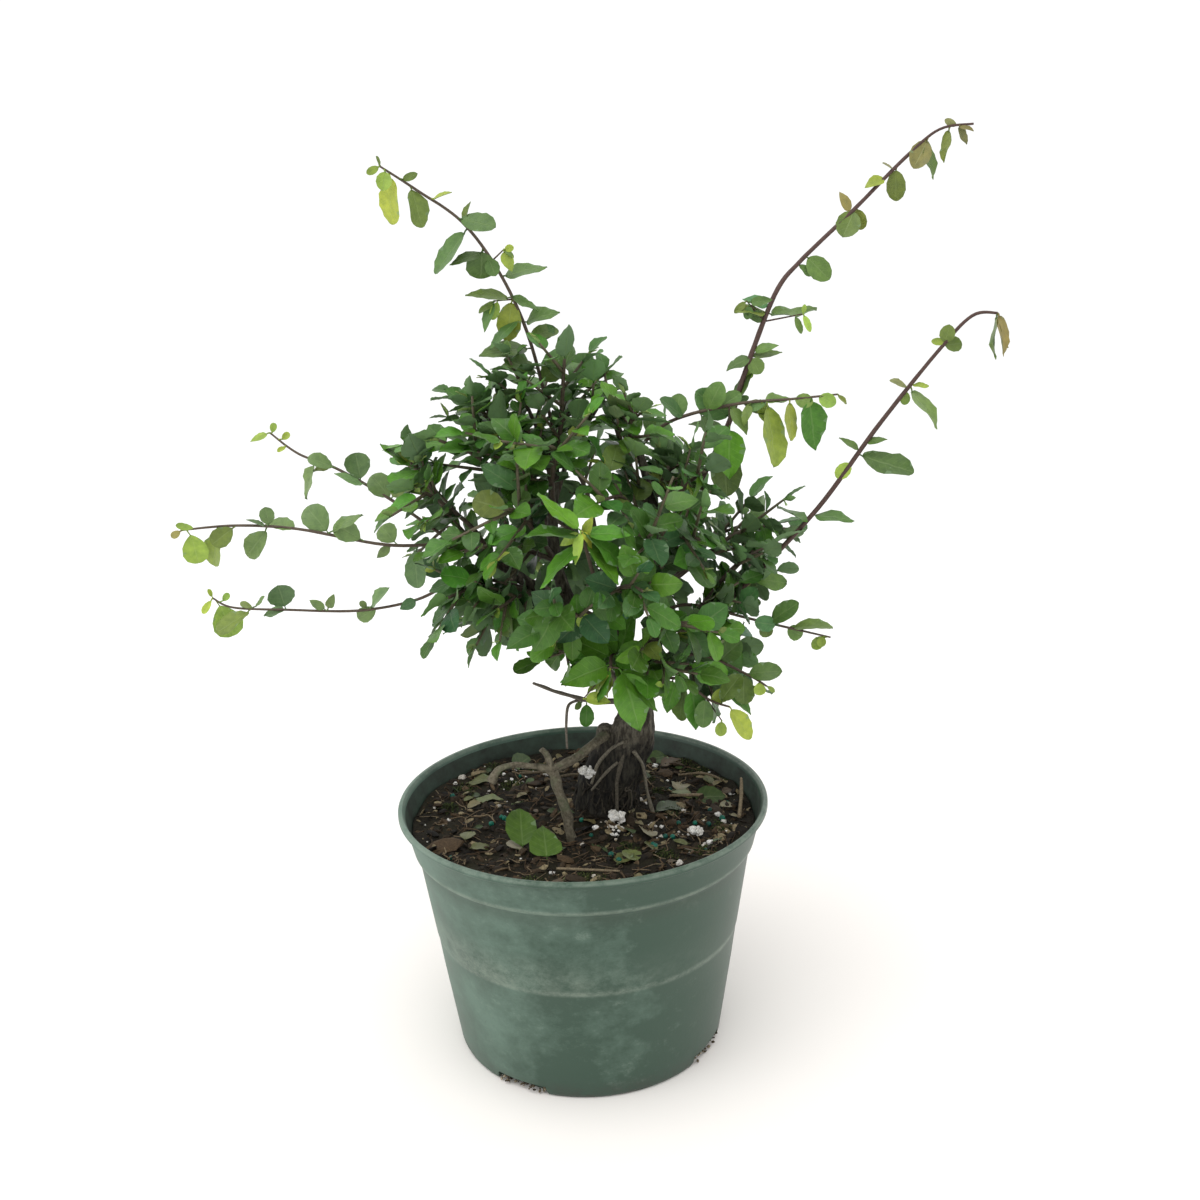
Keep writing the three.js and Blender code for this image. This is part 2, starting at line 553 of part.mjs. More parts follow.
remember(trunkClear, "trunk");
remember(rootClear, "exposed_root");
remember(potBody, "pot");
remember(soilBody, "soil");

addMesh("pot", potBody, COLORS.pot, 0.55);
addMesh("soil", soilBody, COLORS.soil, 0.95);
addMesh("trunk", trunk(), COLORS.trunk, 0.9);
addMesh("exposed_root", rootBody, COLORS.root, 0.9);

// Sprays: all the wood first, then the leaves that are clear of it and of each other

const sprays = [];

function startSpray(name, stem, twigs, leafRows, budget) {
  const wood = [stemSolid(stem, SPRAY_SIDES).subtract(trunkClear)];
  remember(stemSolid(stem, SPRAY_SIDES, GAP), name);
  const rows = [leafRows[0]];
  twigs.forEach((twig, k) => {
    const clearance = stemSolid(twig, SPRAY_SIDES, GAP);
    if (isClear(clearance, name, TWIG_ROOTED)) {
      remember(clearance, name);
      wood.push(stemSolid(twig, SPRAY_SIDES));
      rows.push(leafRows[k + 1]);
    }
  });
  sprays.push({ name, wood, rows, budget });
}

Object.entries(SHOOTS).forEach(([name, shoot]) => {
  startSpray(name, shoot.stem, [], [shootLeaves(shoot)], shoot.leaves.length);
});

Object.entries(CROWN).forEach(([name, ends], k) => {
  const draw = seededDraw(k + 11);
  const { stem, twigs } = crownWood(ends, draw);
  const [onStem, ...onTwigs] = crownLeaves({ stem, twigs }, draw);
  const keptTwigs = TWIGS.kept.map((i) => twigs[i]);
  const keptRows = TWIGS.kept.map((i) => onTwigs[i]);
  startSpray(name, stem, keptTwigs, [onStem, ...keptRows], CROWN_LEAVES);
});

for (const { name, wood, rows, budget } of sprays) {
  const solids = [...wood];
  for (const leaf of fromTips(rows)) {
    const clearance = bladeSolid(leaf, GAP);
    if (solids.length < wood.length + budget && isClear(clearance, name, LEAF_ROOTED)) {
      remember(clearance, name);
      solids.push(bladeSolid(leaf));
    }
  }
  const whole = mainBody(toSolid(toGeometry(joined(solids).simplify(SIMPLER))));
  addMesh(name, whole, COLORS.spray, 0.5);
}

const ground = joined([soilBody, trunkClear, rootClear]);
FALLEN_LEAVES.forEach((leaf, k) => {
  addMesh(`fallen_leaf_${k + 1}`, restOn(fallenLeaf(leaf), ground), COLORS.fallen, 0.6);
});
PERLITE.forEach((clump, k) => {
  const loose = perliteClump(clump);
  const seated = k === 0 ? loose.subtract(trunkClear) : restOn(loose, ground);
  addMesh(`perlite_${k + 1}`, seated, COLORS.perlite, 0.9);
});

export default bonsai;
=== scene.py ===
# Sweet plum bonsai in its plastic nursery pot. The plant and the pot are in millimetres, which become
# metres in make_piece. The camera, the lamps and the floor are placed in metres.
# +X is to the right, +Y away from the viewer, +Z up, with the origin under the middle of the pot.
import math
import random

import bpy
import numpy as np
from mathutils import Matrix, Vector, noise


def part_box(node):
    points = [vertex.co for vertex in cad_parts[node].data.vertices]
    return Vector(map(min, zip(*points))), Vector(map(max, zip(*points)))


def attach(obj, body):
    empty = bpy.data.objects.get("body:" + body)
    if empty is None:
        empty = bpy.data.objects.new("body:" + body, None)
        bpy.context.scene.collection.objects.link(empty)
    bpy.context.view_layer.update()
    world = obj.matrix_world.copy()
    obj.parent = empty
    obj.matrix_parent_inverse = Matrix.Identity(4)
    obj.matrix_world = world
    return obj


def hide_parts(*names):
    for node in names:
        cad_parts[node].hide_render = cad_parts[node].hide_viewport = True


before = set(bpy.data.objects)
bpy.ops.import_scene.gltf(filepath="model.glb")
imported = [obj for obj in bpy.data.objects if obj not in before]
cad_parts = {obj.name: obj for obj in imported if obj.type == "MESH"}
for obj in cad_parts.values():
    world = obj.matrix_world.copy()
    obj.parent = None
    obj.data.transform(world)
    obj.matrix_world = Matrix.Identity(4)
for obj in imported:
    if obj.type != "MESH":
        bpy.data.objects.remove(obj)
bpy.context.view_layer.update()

# Camera: a phone held in front of the pot and a little above the crown, looking slightly down.
# It stands 537 mm in front of the middle of the pot and 362 mm up, and is tilted a little.
camera_place = (0, -0.537, 0.362)
camera_pitch = math.radians(16.28)
camera_yaw = math.radians(1.11)
camera_roll = math.radians(-1.77)
ahead = Vector((math.sin(camera_yaw) * math.cos(camera_pitch),
                math.cos(camera_yaw) * math.cos(camera_pitch), -math.sin(camera_pitch)))
level_right = Vector((math.cos(camera_yaw), -math.sin(camera_yaw), 0))
level_up = level_right.cross(ahead)
camera_right = math.cos(camera_roll) * level_right + math.sin(camera_roll) * level_up
camera_up = math.cos(camera_roll) * level_up - math.sin(camera_roll) * level_right
camera_turn = Matrix((camera_right, camera_up, -ahead)).transposed().to_4x4()
camera_data = bpy.data.cameras.new("camera")
camera_data.sensor_width = 36
camera_data.lens = 39
camera = bpy.data.objects.new("camera", camera_data)
camera.matrix_world = Matrix.Translation(camera_place) @ camera_turn
bpy.context.scene.collection.objects.link(camera)
bpy.context.scene.camera = camera
bpy.context.scene.view_settings.view_transform = "Standard"


# Light: a white tent lit from all round, with a large soft lamp above the front and a weak one on
# the left. The lamps give the leaves their gloss and the pot its faint shadow.
lit_middle = (0, 0, 0.2)
tent = bpy.data.worlds.new("tent")
tent.use_nodes = True
tent_light = tent.node_tree.nodes["Background"]
tent_light.inputs["Color"].default_value = (1, 1, 1, 1)
tent_light.inputs["Strength"].default_value = 1.08
bpy.context.scene.world = tent


def soft_lamp(name, place, size, power):
    lamp_data = bpy.data.lights.new(name, "AREA")
    lamp_data.shape = "RECTANGLE"
    lamp_data.size = size[0]
    lamp_data.size_y = size[1]
    lamp_data.energy = power
    lamp = bpy.data.objects.new(name, lamp_data)
    lamp.location = place
    lamp.rotation_euler = (Vector(lit_middle) - Vector(place)).to_track_quat("-Z", "Y").to_euler()
    bpy.context.scene.collection.objects.link(lamp)


soft_lamp("lamp_above", (-0.25, -0.45, 1.5), (1.1, 0.9), 8)
soft_lamp("lamp_left", (-1.3, -0.5, 0.7), (0.8, 0.8), 2)


# Floor: one smooth pale sheet that runs back out of sight, very slightly warm near the pot and with painted
# light further out, whiter where it fades into the bright tent.
# It isn't part of the object.
class Finish:
    """A material, the shader of its surface, and what the nodes that feed it work out."""

    def __init__(self, name, roughness, shine=0.5):
        self.material = bpy.data.materials.new(name)
        self.material.use_nodes = True
        self.shader = self.material.node_tree.nodes["Principled BSDF"]
        self.shader.inputs["Roughness"].default_value = roughness
        self.shader.inputs["Specular IOR Level"].default_value = shine

    def feed(self, socket, value):
        """Gives a socket a number, a place, a colour, or what another node makes."""
        if isinstance(value, bpy.types.NodeSocket):
            self.material.node_tree.links.new(value, socket)
        else:
            socket.default_value = (*value, 1) if socket.type == "RGBA" else value

    def node(self, kind, inputs=None, **settings):
        made = self.material.node_tree.nodes.new(kind)
        for setting, value in settings.items():
            setattr(made, setting, value)
        for socket, value in (inputs or {}).items():
            self.feed(made.inputs[socket], value)
        return made

    def spots(self, scale=(1, 1, 1)):
        """Places on the piece in millimetres, stretched by scale."""
        place = self.node("ShaderNodeTexCoord").outputs["Object"]
        stretched = tuple(1000 * share for share in scale)
        return self.node("ShaderNodeVectorMath", {0: place, 1: stretched},
                         operation="MULTIPLY").outputs["Vector"]

    def axis(self, place, name):
        return self.node("ShaderNodeSeparateXYZ", {0: place}).outputs[name]

    def clouds(self, place, scale, detail=4, roughness=0.6):
        """A cloudy texture between 0 and 1. scale is about how many clouds there are to a millimetre."""
        return self.node("ShaderNodeTexNoise", {"Vector": place, "Scale": scale, "Detail": detail,
                         "Roughness": roughness}).outputs["Fac"]

    def stepped(self, amount, low, high):
        """Below low gives 0, above high gives 1, and in between it rises evenly."""
        return self.node("ShaderNodeMapRange", {"Value": amount, "From Min": low,
                         "From Max": high}).outputs["Result"]

    def worked(self, kind, *amounts):
        return self.node("ShaderNodeMath", dict(enumerate(amounts)), operation=kind).outputs[0]

    def times(self, first, second):
        return self.worked("MULTIPLY", first, second)

    def most(self, first, second):
        return self.worked("MAXIMUM", first, second)

    def band(self, height, low, high, below, above):
        """1 between two heights, fading out over so many millimetres below and above them."""
        return self.times(self.stepped(height, low - below, low), self.stepped(height, high + above, high))

    def tinted(self, amount, first, second, kind="MIX"):
        """The first colour where amount is 0 and the second where it is 1."""
        return self.node("ShaderNodeMix", {0: amount, 6: first, 7: second}, data_type="RGBA",
                         blend_type=kind).outputs[2]

    def paint(self, color):
        self.feed(self.shader.inputs["Base Color"], color)

    def raised(self, height, depth_mm, strength):
        """Small relief on the surface from a texture."""
        made = self.node("ShaderNodeBump", {"Height": height, "Strength": strength,
                         "Distance": depth_mm * 0.001})
        self.feed(self.shader.inputs["Normal"], made.outputs["Normal"])


floor_reach = 6
floor_finish = Finish("floor_sheet", roughness=0.9, shine=0.1)
floor_spot = floor_finish.node("ShaderNodeTexCoord").outputs["Object"]
floor_far = floor_finish.node("ShaderNodeVectorMath", {0: floor_spot}, operation="LENGTH").outputs["Value"]
# painted light: the sheet is painted whiter further from the pot
floor_finish.paint(floor_finish.tinted(floor_finish.stepped(floor_far, 0.15, 0.7), (0.94, 0.905, 0.87),
                                       (0.98, 0.98, 0.975)))
floor_mesh = bpy.data.meshes.new("floor")
floor_corners = [(-floor_reach, -floor_reach, 0), (floor_reach, -floor_reach, 0),
                 (floor_reach, floor_reach, 0), (-floor_reach, floor_reach, 0)]
floor_mesh.from_pydata(floor_corners, [], [(0, 1, 2, 3)])
floor_mesh.materials.append(floor_finish.material)
floor = bpy.data.objects.new("floor", floor_mesh)
bpy.context.scene.collection.objects.link(floor)


# Pot: a thin nursery pot, injection moulded in dark green polypropylene, round and tapering, with a
# stepped collar, a rolled rim and four drain notches where the wall meets the floor. It is dusty,
# and lime from the water has dried on it in a band half way up.
rim_radius = 82.5
pot_height = 114.6
collar_radius = 77
wall_top_radius = 75
foot_radius = 60.9
wall_foot_z = 1.3
wall_top_z = 96
wall = 1.6
pot_floor = 2.2
pot_around = 160
notch_turns = (-31, 59, 149, 239)
notch_half = 14
notch_reach = 4.5
notch_height = 4.6
notch_narrowing = 0.86
below_foot = -5


def wall_radius(z):
    """How far the outside of the tapering wall is from the axis at a height."""
    return foot_radius + (wall_top_radius - foot_radius) * (z - wall_foot_z) / (wall_top_z - wall_foot_z)


inner_lip = (79.4, 112)
pot_profile = [
    (0, 0.9), (20, 0.9), (40, 0.9), (54, 0.8), (56, 0.1), (58.5, 0), (59.6, 0.1), (60.4, 0.6),
    (wall_radius(2), 2), (wall_radius(12), 12), (wall_radius(26), 26), (wall_radius(40), 40),
    (wall_radius(55.6) - 0.3, 55.6), (wall_radius(56.6) - 0.05, 56.6), (wall_radius(57.4), 57.4),
    (wall_radius(70), 70), (wall_radius(84), 84), (wall_radius(94.6), 94.6),
    (wall_radius(95.8) + 0.2, 95.8), (76.2, 96.9), (76.8, 97.5), (collar_radius, 98.4),
    (78.3, 104), (79.9, 110.4), (80.3, 111.2), (81.2, 111.5), (82, 111.8), (rim_radius, 112.4),
    (rim_radius, 113.7), (82.2, 114.3), (81.5, pot_height), (80.7, pot_height - 0.1),
    (80, 113.6), inner_lip, (77.6, 104.6), (75.7, 98.8), (75.1, 97.6),
    (wall_top_radius - wall, 96.2), (wall_radius(60) - wall, 60), (wall_radius(12) - wall, 12),
    (foot_radius - wall - 1, pot_floor + 0.6), (foot_radius - wall - 2.5, pot_floor),
    (30, pot_floor), (0, pot_floor),
]


def turned_shell(profile, around):
    """The points and faces of a profile of (radius, height) rows turned round the upright axis."""
    points = []
    rings = []
    for radius, z in profile:
        if radius == 0:
            rings.append([len(points)] * around)
            points.append((0, 0, z))
        else:
            rings.append([len(points) + k for k in range(around)])
            turns = [2 * math.pi * k / around for k in range(around)]
            points += [(radius * math.cos(turn), radius * math.sin(turn), z) for turn in turns]
    faces = []
    for low, high in zip(rings, rings[1:]):
        for k in range(around):
            corners = [low[k], low[(k + 1) % around], high[(k + 1) % around], high[k]]
            corners = list(dict.fromkeys(corners))
            if len(corners) > 2:
                faces.append(corners)
    return points, faces


def make_piece(name, points, faces, finishes, slot, nodes=(), finish_of_face=None, notes=None,
               smooth=True):
    """A mesh object from points in millimetres that rides on the part and stands for its solids.
    notes are values kept at each point for the finishes to read: a name and three numbers each."""
    mesh = bpy.data.meshes.new(name)
    mesh.from_pydata((np.asarray(points, float) * 0.001).tolist(), [], faces)
    for finish in finishes:
        mesh.materials.append(finish)
    if finish_of_face is not None:
        mesh.polygons.foreach_set("material_index", finish_of_face)
    for note, values in (notes or {}).items():
        kept = mesh.attributes.new(note, "FLOAT_VECTOR", "POINT")
        kept.data.foreach_set("vector", np.asarray(values, float).ravel())
    if smooth:
        mesh.shade_smooth()
    mesh.update()
    piece = bpy.data.objects.new(name, mesh)
    bpy.context.scene.collection.objects.link(piece)
    if slot:
        dress(piece, nodes)
    return piece


def dress(piece, nodes=()):
    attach(piece, "root")
    if nodes:
        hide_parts(*nodes)


def settle_modifiers(piece):
    """Turns what the modifiers make into the piece's own mesh, and takes them off."""
    graph = bpy.context.evaluated_depsgraph_get()
    made = bpy.data.meshes.new_from_object(piece.evaluated_get(graph))
    piece.modifiers.clear()
    piece.data = made


def outer_plastic():
    """Satin plastic under a patchy film of dust, with wiped chalk, lime at the ledge, dirt, painted
    highlights on the edges of the collar and the rim, and painted shade under the collar.
    """
    finish = Finish("dusty_green_plastic", roughness=0.5, shine=0.4)
    place = finish.spots()
    rightward = finish.axis(place, "X")
    height = finish.axis(place, "Z")
    patches = finish.clouds(place, 0.02, 5)
    wipes = finish.clouds(finish.spots((1, 1, 1.4)), 0.09, 10, 0.82)
    specks = finish.clouds(place, 0.8, 3, 0.7)
    # the film is thickest on the left, where the pot hasn't been handled
    cloudy = finish.worked("ADD", patches, finish.times(wipes, 0.5))
    cloudy = finish.worked("ADD", cloudy, finish.times(rightward, -0.0036))
    film = finish.stepped(cloudy, 0.74, 1.02)
    color = finish.tinted(film, (0.03, 0.066, 0.044), (0.108, 0.175, 0.136))
    # chalk is left where the film was wiped, and lime on the ledge half way up and in a haze over it
    wiped = finish.times(finish.stepped(wipes, 0.56, 0.68), finish.stepped(patches, 0.42, 0.56))
    ledge = finish.times(finish.band(height, 55.8, 57.2, 1.4, 1.6), finish.stepped(wipes, 0.36, 0.6))
    haze = finish.times(finish.band(height, 57.2, 61, 1, 15), finish.stepped(wipes, 0.38, 0.7))
    haze = finish.times(haze, finish.stepped(rightward, 60, -40))
    # painted highlights: the edges of the collar and of the rim are painted pale in patches where they catch
    # the light
    edges = finish.most(finish.band(height, 97, 98.2, 0.6, 1.2), finish.band(height, 113.6, 114.6, 0.8, 1))
    edges = finish.times(edges, finish.stepped(wipes, 0.35, 0.55))
    chalk_and_highlights = finish.times(wiped, 0.3)
    for marks, strength in ((ledge, 0.55), (haze, 0.7), (edges, 0.45)):
        chalk_and_highlights = finish.most(chalk_and_highlights, finish.times(marks, strength))
    color = finish.tinted(chalk_and_highlights, color, (0.23, 0.28, 0.225))
    # painted shade and dirt: the wall is dark in the shelter of the collar
    collar_shade_and_dirt = finish.times(finish.band(height, 93.5, 96, 6, 0.6), 0.4)
    color = finish.tinted(collar_shade_and_dirt, color, (0.028, 0.048, 0.032))
    # specks of soil, thickest near the foot
    dirt = finish.times(finish.stepped(specks, 0.66, 0.74), finish.stepped(patches, 0.44, 0.58))
    mud = finish.times(finish.stepped(height, 9, 1), finish.stepped(wipes, 0.42, 0.58))
    dirt = finish.most(finish.times(dirt, 0.6), finish.times(mud, 0.7))
    finish.paint(finish.tinted(dirt, color, (0.035, 0.038, 0.028)))
    finish.feed(finish.shader.inputs["Roughness"], finish.worked("MULTIPLY_ADD", film, 0.2, 0.4))
    finish.raised(specks, depth_mm=0.12, strength=0.35)
    return finish.material


def inner_plastic():
    """The same plastic inside, dark with algae and splashed soil, and darker still with painted shade."""
    finish = Finish("stained_and_shaded_green_plastic", roughness=0.6)
    patches = finish.clouds(finish.spots(), 0.09, 6, 0.7)
    # painted shade and stains: the inside is painted much darker than the outside
    finish.paint(finish.tinted(finish.stepped(patches, 0.38, 0.62), (0.014, 0.022, 0.014),
                               (0.032, 0.058, 0.04)))
    finish.raised(patches, depth_mm=0.3, strength=0.4)
    return finish.material


points, faces = turned_shell(pot_profile, pot_around)
inner_from = pot_around * pot_profile.index(inner_lip)
inside = [int(k >= inner_from) for k in range(len(faces))]
pot = make_piece("nursery_pot", points, faces, [outer_plastic(), inner_plastic()], None,
                 finish_of_face=inside)
for turn in notch_turns:
    notch = bpy.data.meshes.new("notch_cutter")
    low = [(foot_radius + side * notch_reach, end * notch_half, below_foot)
           for side, end in ((-1, -1), (1, -1), (1, 1), (-1, 1))]
    high = [(x, y * notch_narrowing, notch_height) for x, y, z in low]
    corners = [Matrix.Rotation(math.radians(turn), 3, "Z") @ Vector(corner) * 0.001
               for corner in low + high]
    sides = [(3, 2, 1, 0), (4, 5, 6, 7), (0, 1, 5, 4), (1, 2, 6, 5), (2, 3, 7, 6), (3, 0, 4, 7)]
    notch.from_pydata(corners, [], sides)
    cutter = bpy.data.objects.new("notch_cutter", notch)
    bpy.context.scene.collection.objects.link(cutter)
    cut = pot.modifiers.new("notch", "BOOLEAN")
    cut.operation = "DIFFERENCE"
    cut.solver = "EXACT"
    cut.object = cutter
    settle_modifiers(pot)
    bpy.data.objects.remove(cutter)
pot.data.set_sharp_from_angle(angle=math.radians(40))
dress(pot, ["pot"])


# Potting mix: damp black-brown bark and peat that fills the pot to under the rim and is heaped a
# little at the trunk. Bark chips, fibres, white perlite and blue-green feed prills lie in its top.
soil_z = 104.6
mound_x = 12
mound_reach = 26
mound_height = 4
bed_rings = 74
bed_around = 200
bed_radius = 76.7


def soil_height(x, y):
    """The smooth height of the mix, with its mound at the trunk and its low waves."""
    far = math.hypot(x - mound_x, y) / mound_reach
    lumps = 0.9 * math.sin(x * 0.13 + 1) * math.cos(y * 0.11) + 0.5 * math.sin(x * 0.31 - y * 0.27)
    return soil_z + mound_height * math.exp(-far * far) + lumps


def rough_height(x, y):
    """The height of the mix with its crumbs."""
    crumbs = noise.fractal(Vector((x * 0.22, y * 0.22, 3)), 1, 2.2, 4) * 0.85
    return soil_height(x, y) + crumbs - 0.3


def potting_mix():
    """Black damp crumbs, a little browner in patches."""
    finish = Finish("damp_potting_mix", roughness=0.85, shine=0.2)
    crumbs = finish.clouds(finish.spots(), 0.7, 6, 0.75)
    patches = finish.clouds(finish.spots(), 0.09, 3, 0.5)
    color = finish.tinted(finish.stepped(crumbs, 0.35, 0.75), (0.004, 0.0035, 0.0025), (0.034, 0.027, 0.015))
    finish.paint(finish.tinted(finish.stepped(patches, 0.45, 0.75), color, (0.02, 0.018, 0.008)))
    finish.raised(crumbs, depth_mm=1.0, strength=0.9)
    return finish.material


bed = [(0, pot_floor + 0.3), (foot_radius - wall - 1.2, pot_floor + 0.8), (wall_radius(60) - wall - 0.6, 60),
       (wall_top_radius - wall - 0.6, 96.4), (collar_radius - wall - 0.6, 98.6), (bed_radius, soil_z - 1.5)]
bed += [(bed_radius * (1 - k / bed_rings), soil_z) for k in range(bed_rings + 1)]
points, faces = turned_shell(bed, bed_around)
points = [(x, y, rough_height(x, y)) if z == soil_z else (x, y, z) for x, y, z in points]
make_piece("potting_mix_bed", points, faces, [potting_mix()], "potting_mix", ["soil"])


# Bark chips: ground bark, the bulk of the mix, in angular black-brown bits with a few pale torn
# ones. They lie loose over each other, clear of the trunk, with the largest flakes on top.
chip_count = 2100
pale_share = 0.12
flake_thickness = 1.1
loose_reach = 75.5
trunk_foot = (11, 4)
trunk_clear = 14
# the largest flakes: place, length, width, turn and tone
flakes = [(-60, -28, 9, 6.5, 0.2, 0.72), (-50, 48, 5, 3, 0.6, 0.95), (47, 49, 6, 4, 1.1, 0.6),
          (-22, 34, 6, 4, 0.8, 0.55), (40, 40, 5, 3.5, 2.2, 0.65), (-4, -62, 6, 3.5, 0.1, 0.5),
          (60, -4, 6, 3, 1.9, 0.5), (47, 11, 6, 2, 0.3, 0.9), (-8, -44, 5, 3, 2.6, 0.7)]


def grain_shape(levels):
    """A ball of small triangles: its points, one unit from the middle, and its faces."""
    golden = (1 + math.sqrt(5)) / 2
    points = [Vector(corner).normalized() for corner in (
        (-1, golden, 0), (1, golden, 0), (-1, -golden, 0), (1, -golden, 0),
        (0, -1, golden), (0, 1, golden), (0, -1, -golden), (0, 1, -golden),
        (golden, 0, -1), (golden, 0, 1), (-golden, 0, -1), (-golden, 0, 1))]
    faces = [(0, 11, 5), (0, 5, 1), (0, 1, 7), (0, 7, 10), (0, 10, 11), (1, 5, 9), (5, 11, 4),
             (11, 10, 2), (10, 7, 6), (7, 1, 8), (3, 9, 4), (3, 4, 2), (3, 2, 6), (3, 6, 8),
             (3, 8, 9), (4, 9, 5), (2, 4, 11), (6, 2, 10), (8, 6, 7), (9, 8, 1)]
    for level in range(levels):
        middles = {}
        finer = []
        for a, b, c in faces:
            ends = []
            for pair in ((a, b), (b, c), (c, a)):
                key = tuple(sorted(pair))
                if key not in middles:
                    middles[key] = len(points)
                    points.append((points[pair[0]] + points[pair[1]]).normalized())
                ends.append(middles[key])
            finer += [(a, ends[0], ends[2]), (b, ends[1], ends[0]), (c, ends[2], ends[1]), tuple(ends)]
        faces = finer
    return np.array(points), np.array(faces)


class Heap:
    """Many small like things gathered into one mesh."""

    def __init__(self):
        self.points = []
        self.faces = []
        self.tones = []
        self.count = 0

    def add(self, points, faces, tone):
        """tone is a number, or a colour of three."""
        self.points.append(points)
        self.faces += [[corner + self.count for corner in face] for face in faces]
        self.tones.append(np.full((len(points), 3), tone, float))
        self.count += len(points)

    def piece(self, name, finish, slot, nodes=(), smooth=True):
        return make_piece(name, np.concatenate(self.points), self.faces, [finish], slot, nodes,
                          notes={"tone": np.concatenate(self.tones)}, smooth=smooth)


def roughened(draw, shape, low, high, axes=3):
    """A shape with each corner scaled by draws of its own: one for each axis, or one for all three
    when axes is 1, which keeps the corner's direction."""
    return shape * np.array([[draw.uniform(low, high) for axis in range(axes)] for corner in shape])


def turned(points, spin, tip, roll):
    """Points turned about their own middle."""
    turn = Matrix.Rotation(spin, 3, "Z") @ Matrix.Rotation(tip, 3, "X") @ Matrix.Rotation(roll, 3, "Y")
    return points @ np.array(turn).T


def any_turn(draw):
    return draw.uniform(0, 6.3)


def is_clear_of_trunk(x, y):
    return math.hypot(x - trunk_foot[0], y - trunk_foot[1]) > trunk_clear


def on_bed(draw, reach=loose_reach):
    """An even random place on the soil, clear of the trunk."""
    while True:
        far = reach * math.sqrt(draw.random())
        turn = draw.uniform(0, 2 * math.pi)
        x = far * math.cos(turn)
        y = far * math.sin(turn)
        if is_clear_of_trunk(x, y):
            return x, y


def toned_finish(name, colors, roughness, grain=1.2, depth=0.15):
    """A finish whose colour runs through colors by the tone kept at each grain."""
    finish = Finish(name, roughness, shine=0.25)
    tone = finish.node("ShaderNodeAttribute", attribute_name="tone").outputs["Vector"]
    ramp = finish.node("ShaderNodeValToRGB", {"Fac": finish.axis(tone, "X")})
    stops = ramp.color_ramp.elements
    for color in colors[2:]:
        stops.new(0.5)
    for k, color in enumerate(colors):
        stops[k].position = k / (len(colors) - 1)
        stops[k].color = (*color, 1)
    mottle = finish.clouds(finish.spots(), grain, 4, 0.7)
    shaded = finish.tinted(finish.stepped(mottle, 0.35, 0.7), (0.5, 0.5, 0.5), (1.25, 1.25, 1.25))
    finish.paint(finish.tinted(1.0, ramp.outputs["Color"], shaded, "MULTIPLY"))
    finish.raised(mottle, depth, strength=0.8)
    return finish.material


draw = random.Random(4)
shard, shard_faces = grain_shape(0)
chips = Heap()
for x, y, length, width, turn, tone in flakes:
    flake = roughened(draw, shard, 0.8, 1.15) * (length, width, flake_thickness)
    flake = turned(flake, turn, draw.gauss(0, 0.12), draw.gauss(0, 0.12))
    chips.add(flake + (x, y, rough_height(x, y) + 0.7), shard_faces, tone)
for k in range(chip_count):
    x, y = on_bed(draw)
    length = 0.8 + 3.2 * draw.random() ** 2.4
    size = np.array([length, length * draw.uniform(0.35, 0.8), length * draw.uniform(0.15, 0.4)])
    chip = roughened(draw, shard, 0.7, 1.2) * size
    chip = turned(chip, any_turn(draw), draw.gauss(0, 0.45), draw.gauss(0, 0.4))
    z = rough_height(x, y) + draw.uniform(-0.2, 0.5) * size[2]
    is_pale = draw.random() < pale_share
    chips.add(chip + (x, y, z), shard_faces, 1 if is_pale else 0.8 * draw.random())
chips.piece("bark_chips", toned_finish("bark_chip", [
    (0.005, 0.004, 0.0025), (0.014, 0.01, 0.006), (0.034, 0.022, 0.011), (0.075, 0.046, 0.022),
    (0.26, 0.21, 0.12)], roughness=0.75), "potting_mix", smooth=False)


# Perlite grains: white crumbs of expanded mineral that keep the mix open. Water has floated them up,
# and most have gathered in front of the trunk, at the front right and at the back left.
loose_grain_count = 150
inside_wall = 75
# the grains that catch the eye: place and radius
large_grains = [(47, -22, 2.3), (54, -31, 1.8), (51, -33, 1.3), (39, -51, 1.6), (69, 17, 1.6),
                (36, 52, 1.7), (44, 58, 1.8), (40, 60, 1.3), (47, 54, 1.5), (-58, 44, 1.9),
                (-61, 38, 1.4), (-39, 12, 1.2), (-1, -30, 1.3), (5, -19, 1.6), (30, -18, 1.4),
                (34, -19, 1.1), (62, -12, 1.4), (45, -4, 1.3), (-14, -52, 1.3), (-61, 1, 1.1),
                (60, -8, 1.6), (26, 8, 1.5), (28, 5, 1.2)]
ball, ball_faces = grain_shape(1)
grains = Heap()
for k in range(loose_grain_count + len(large_grains)):
    radius = 0.4 + 0.8 * draw.random() ** 2
    if k < len(large_grains):
        x, y, radius = large_grains[k]
    elif k % 6 == 0:
        x, y = draw.gauss(14, 2.6), draw.gauss(-20, 3)
    elif k % 3 == 0:
        x, y = draw.gauss(42, 14), draw.gauss(-24, 9)
    elif k % 3 == 1:
        x, y = draw.gauss(-40, 16), draw.gauss(44, 12)
    else:
        x, y = on_bed(draw, reach=74)
    if math.hypot(x, y) > inside_wall or not is_clear_of_trunk(x, y):
        continue
    grain = roughened(draw, ball, 0.72, 1.15, axes=1) * radius
    grain = grain * (1, draw.uniform(0.7, 1), draw.uniform(0.6, 0.95))
    grains.add(grain + (x, y, rough_height(x, y) + 0.25 * radius), ball_faces, draw.random())
perlite_finish = toned_finish("perlite", [(0.55, 0.5, 0.42), (0.78, 0.75, 0.69), (0.9, 0.89, 0.86)],
                              roughness=0.9, grain=1.6, depth=0.3)
grains.piece("perlite_grains", perlite_finish, "perlite", smooth=False)


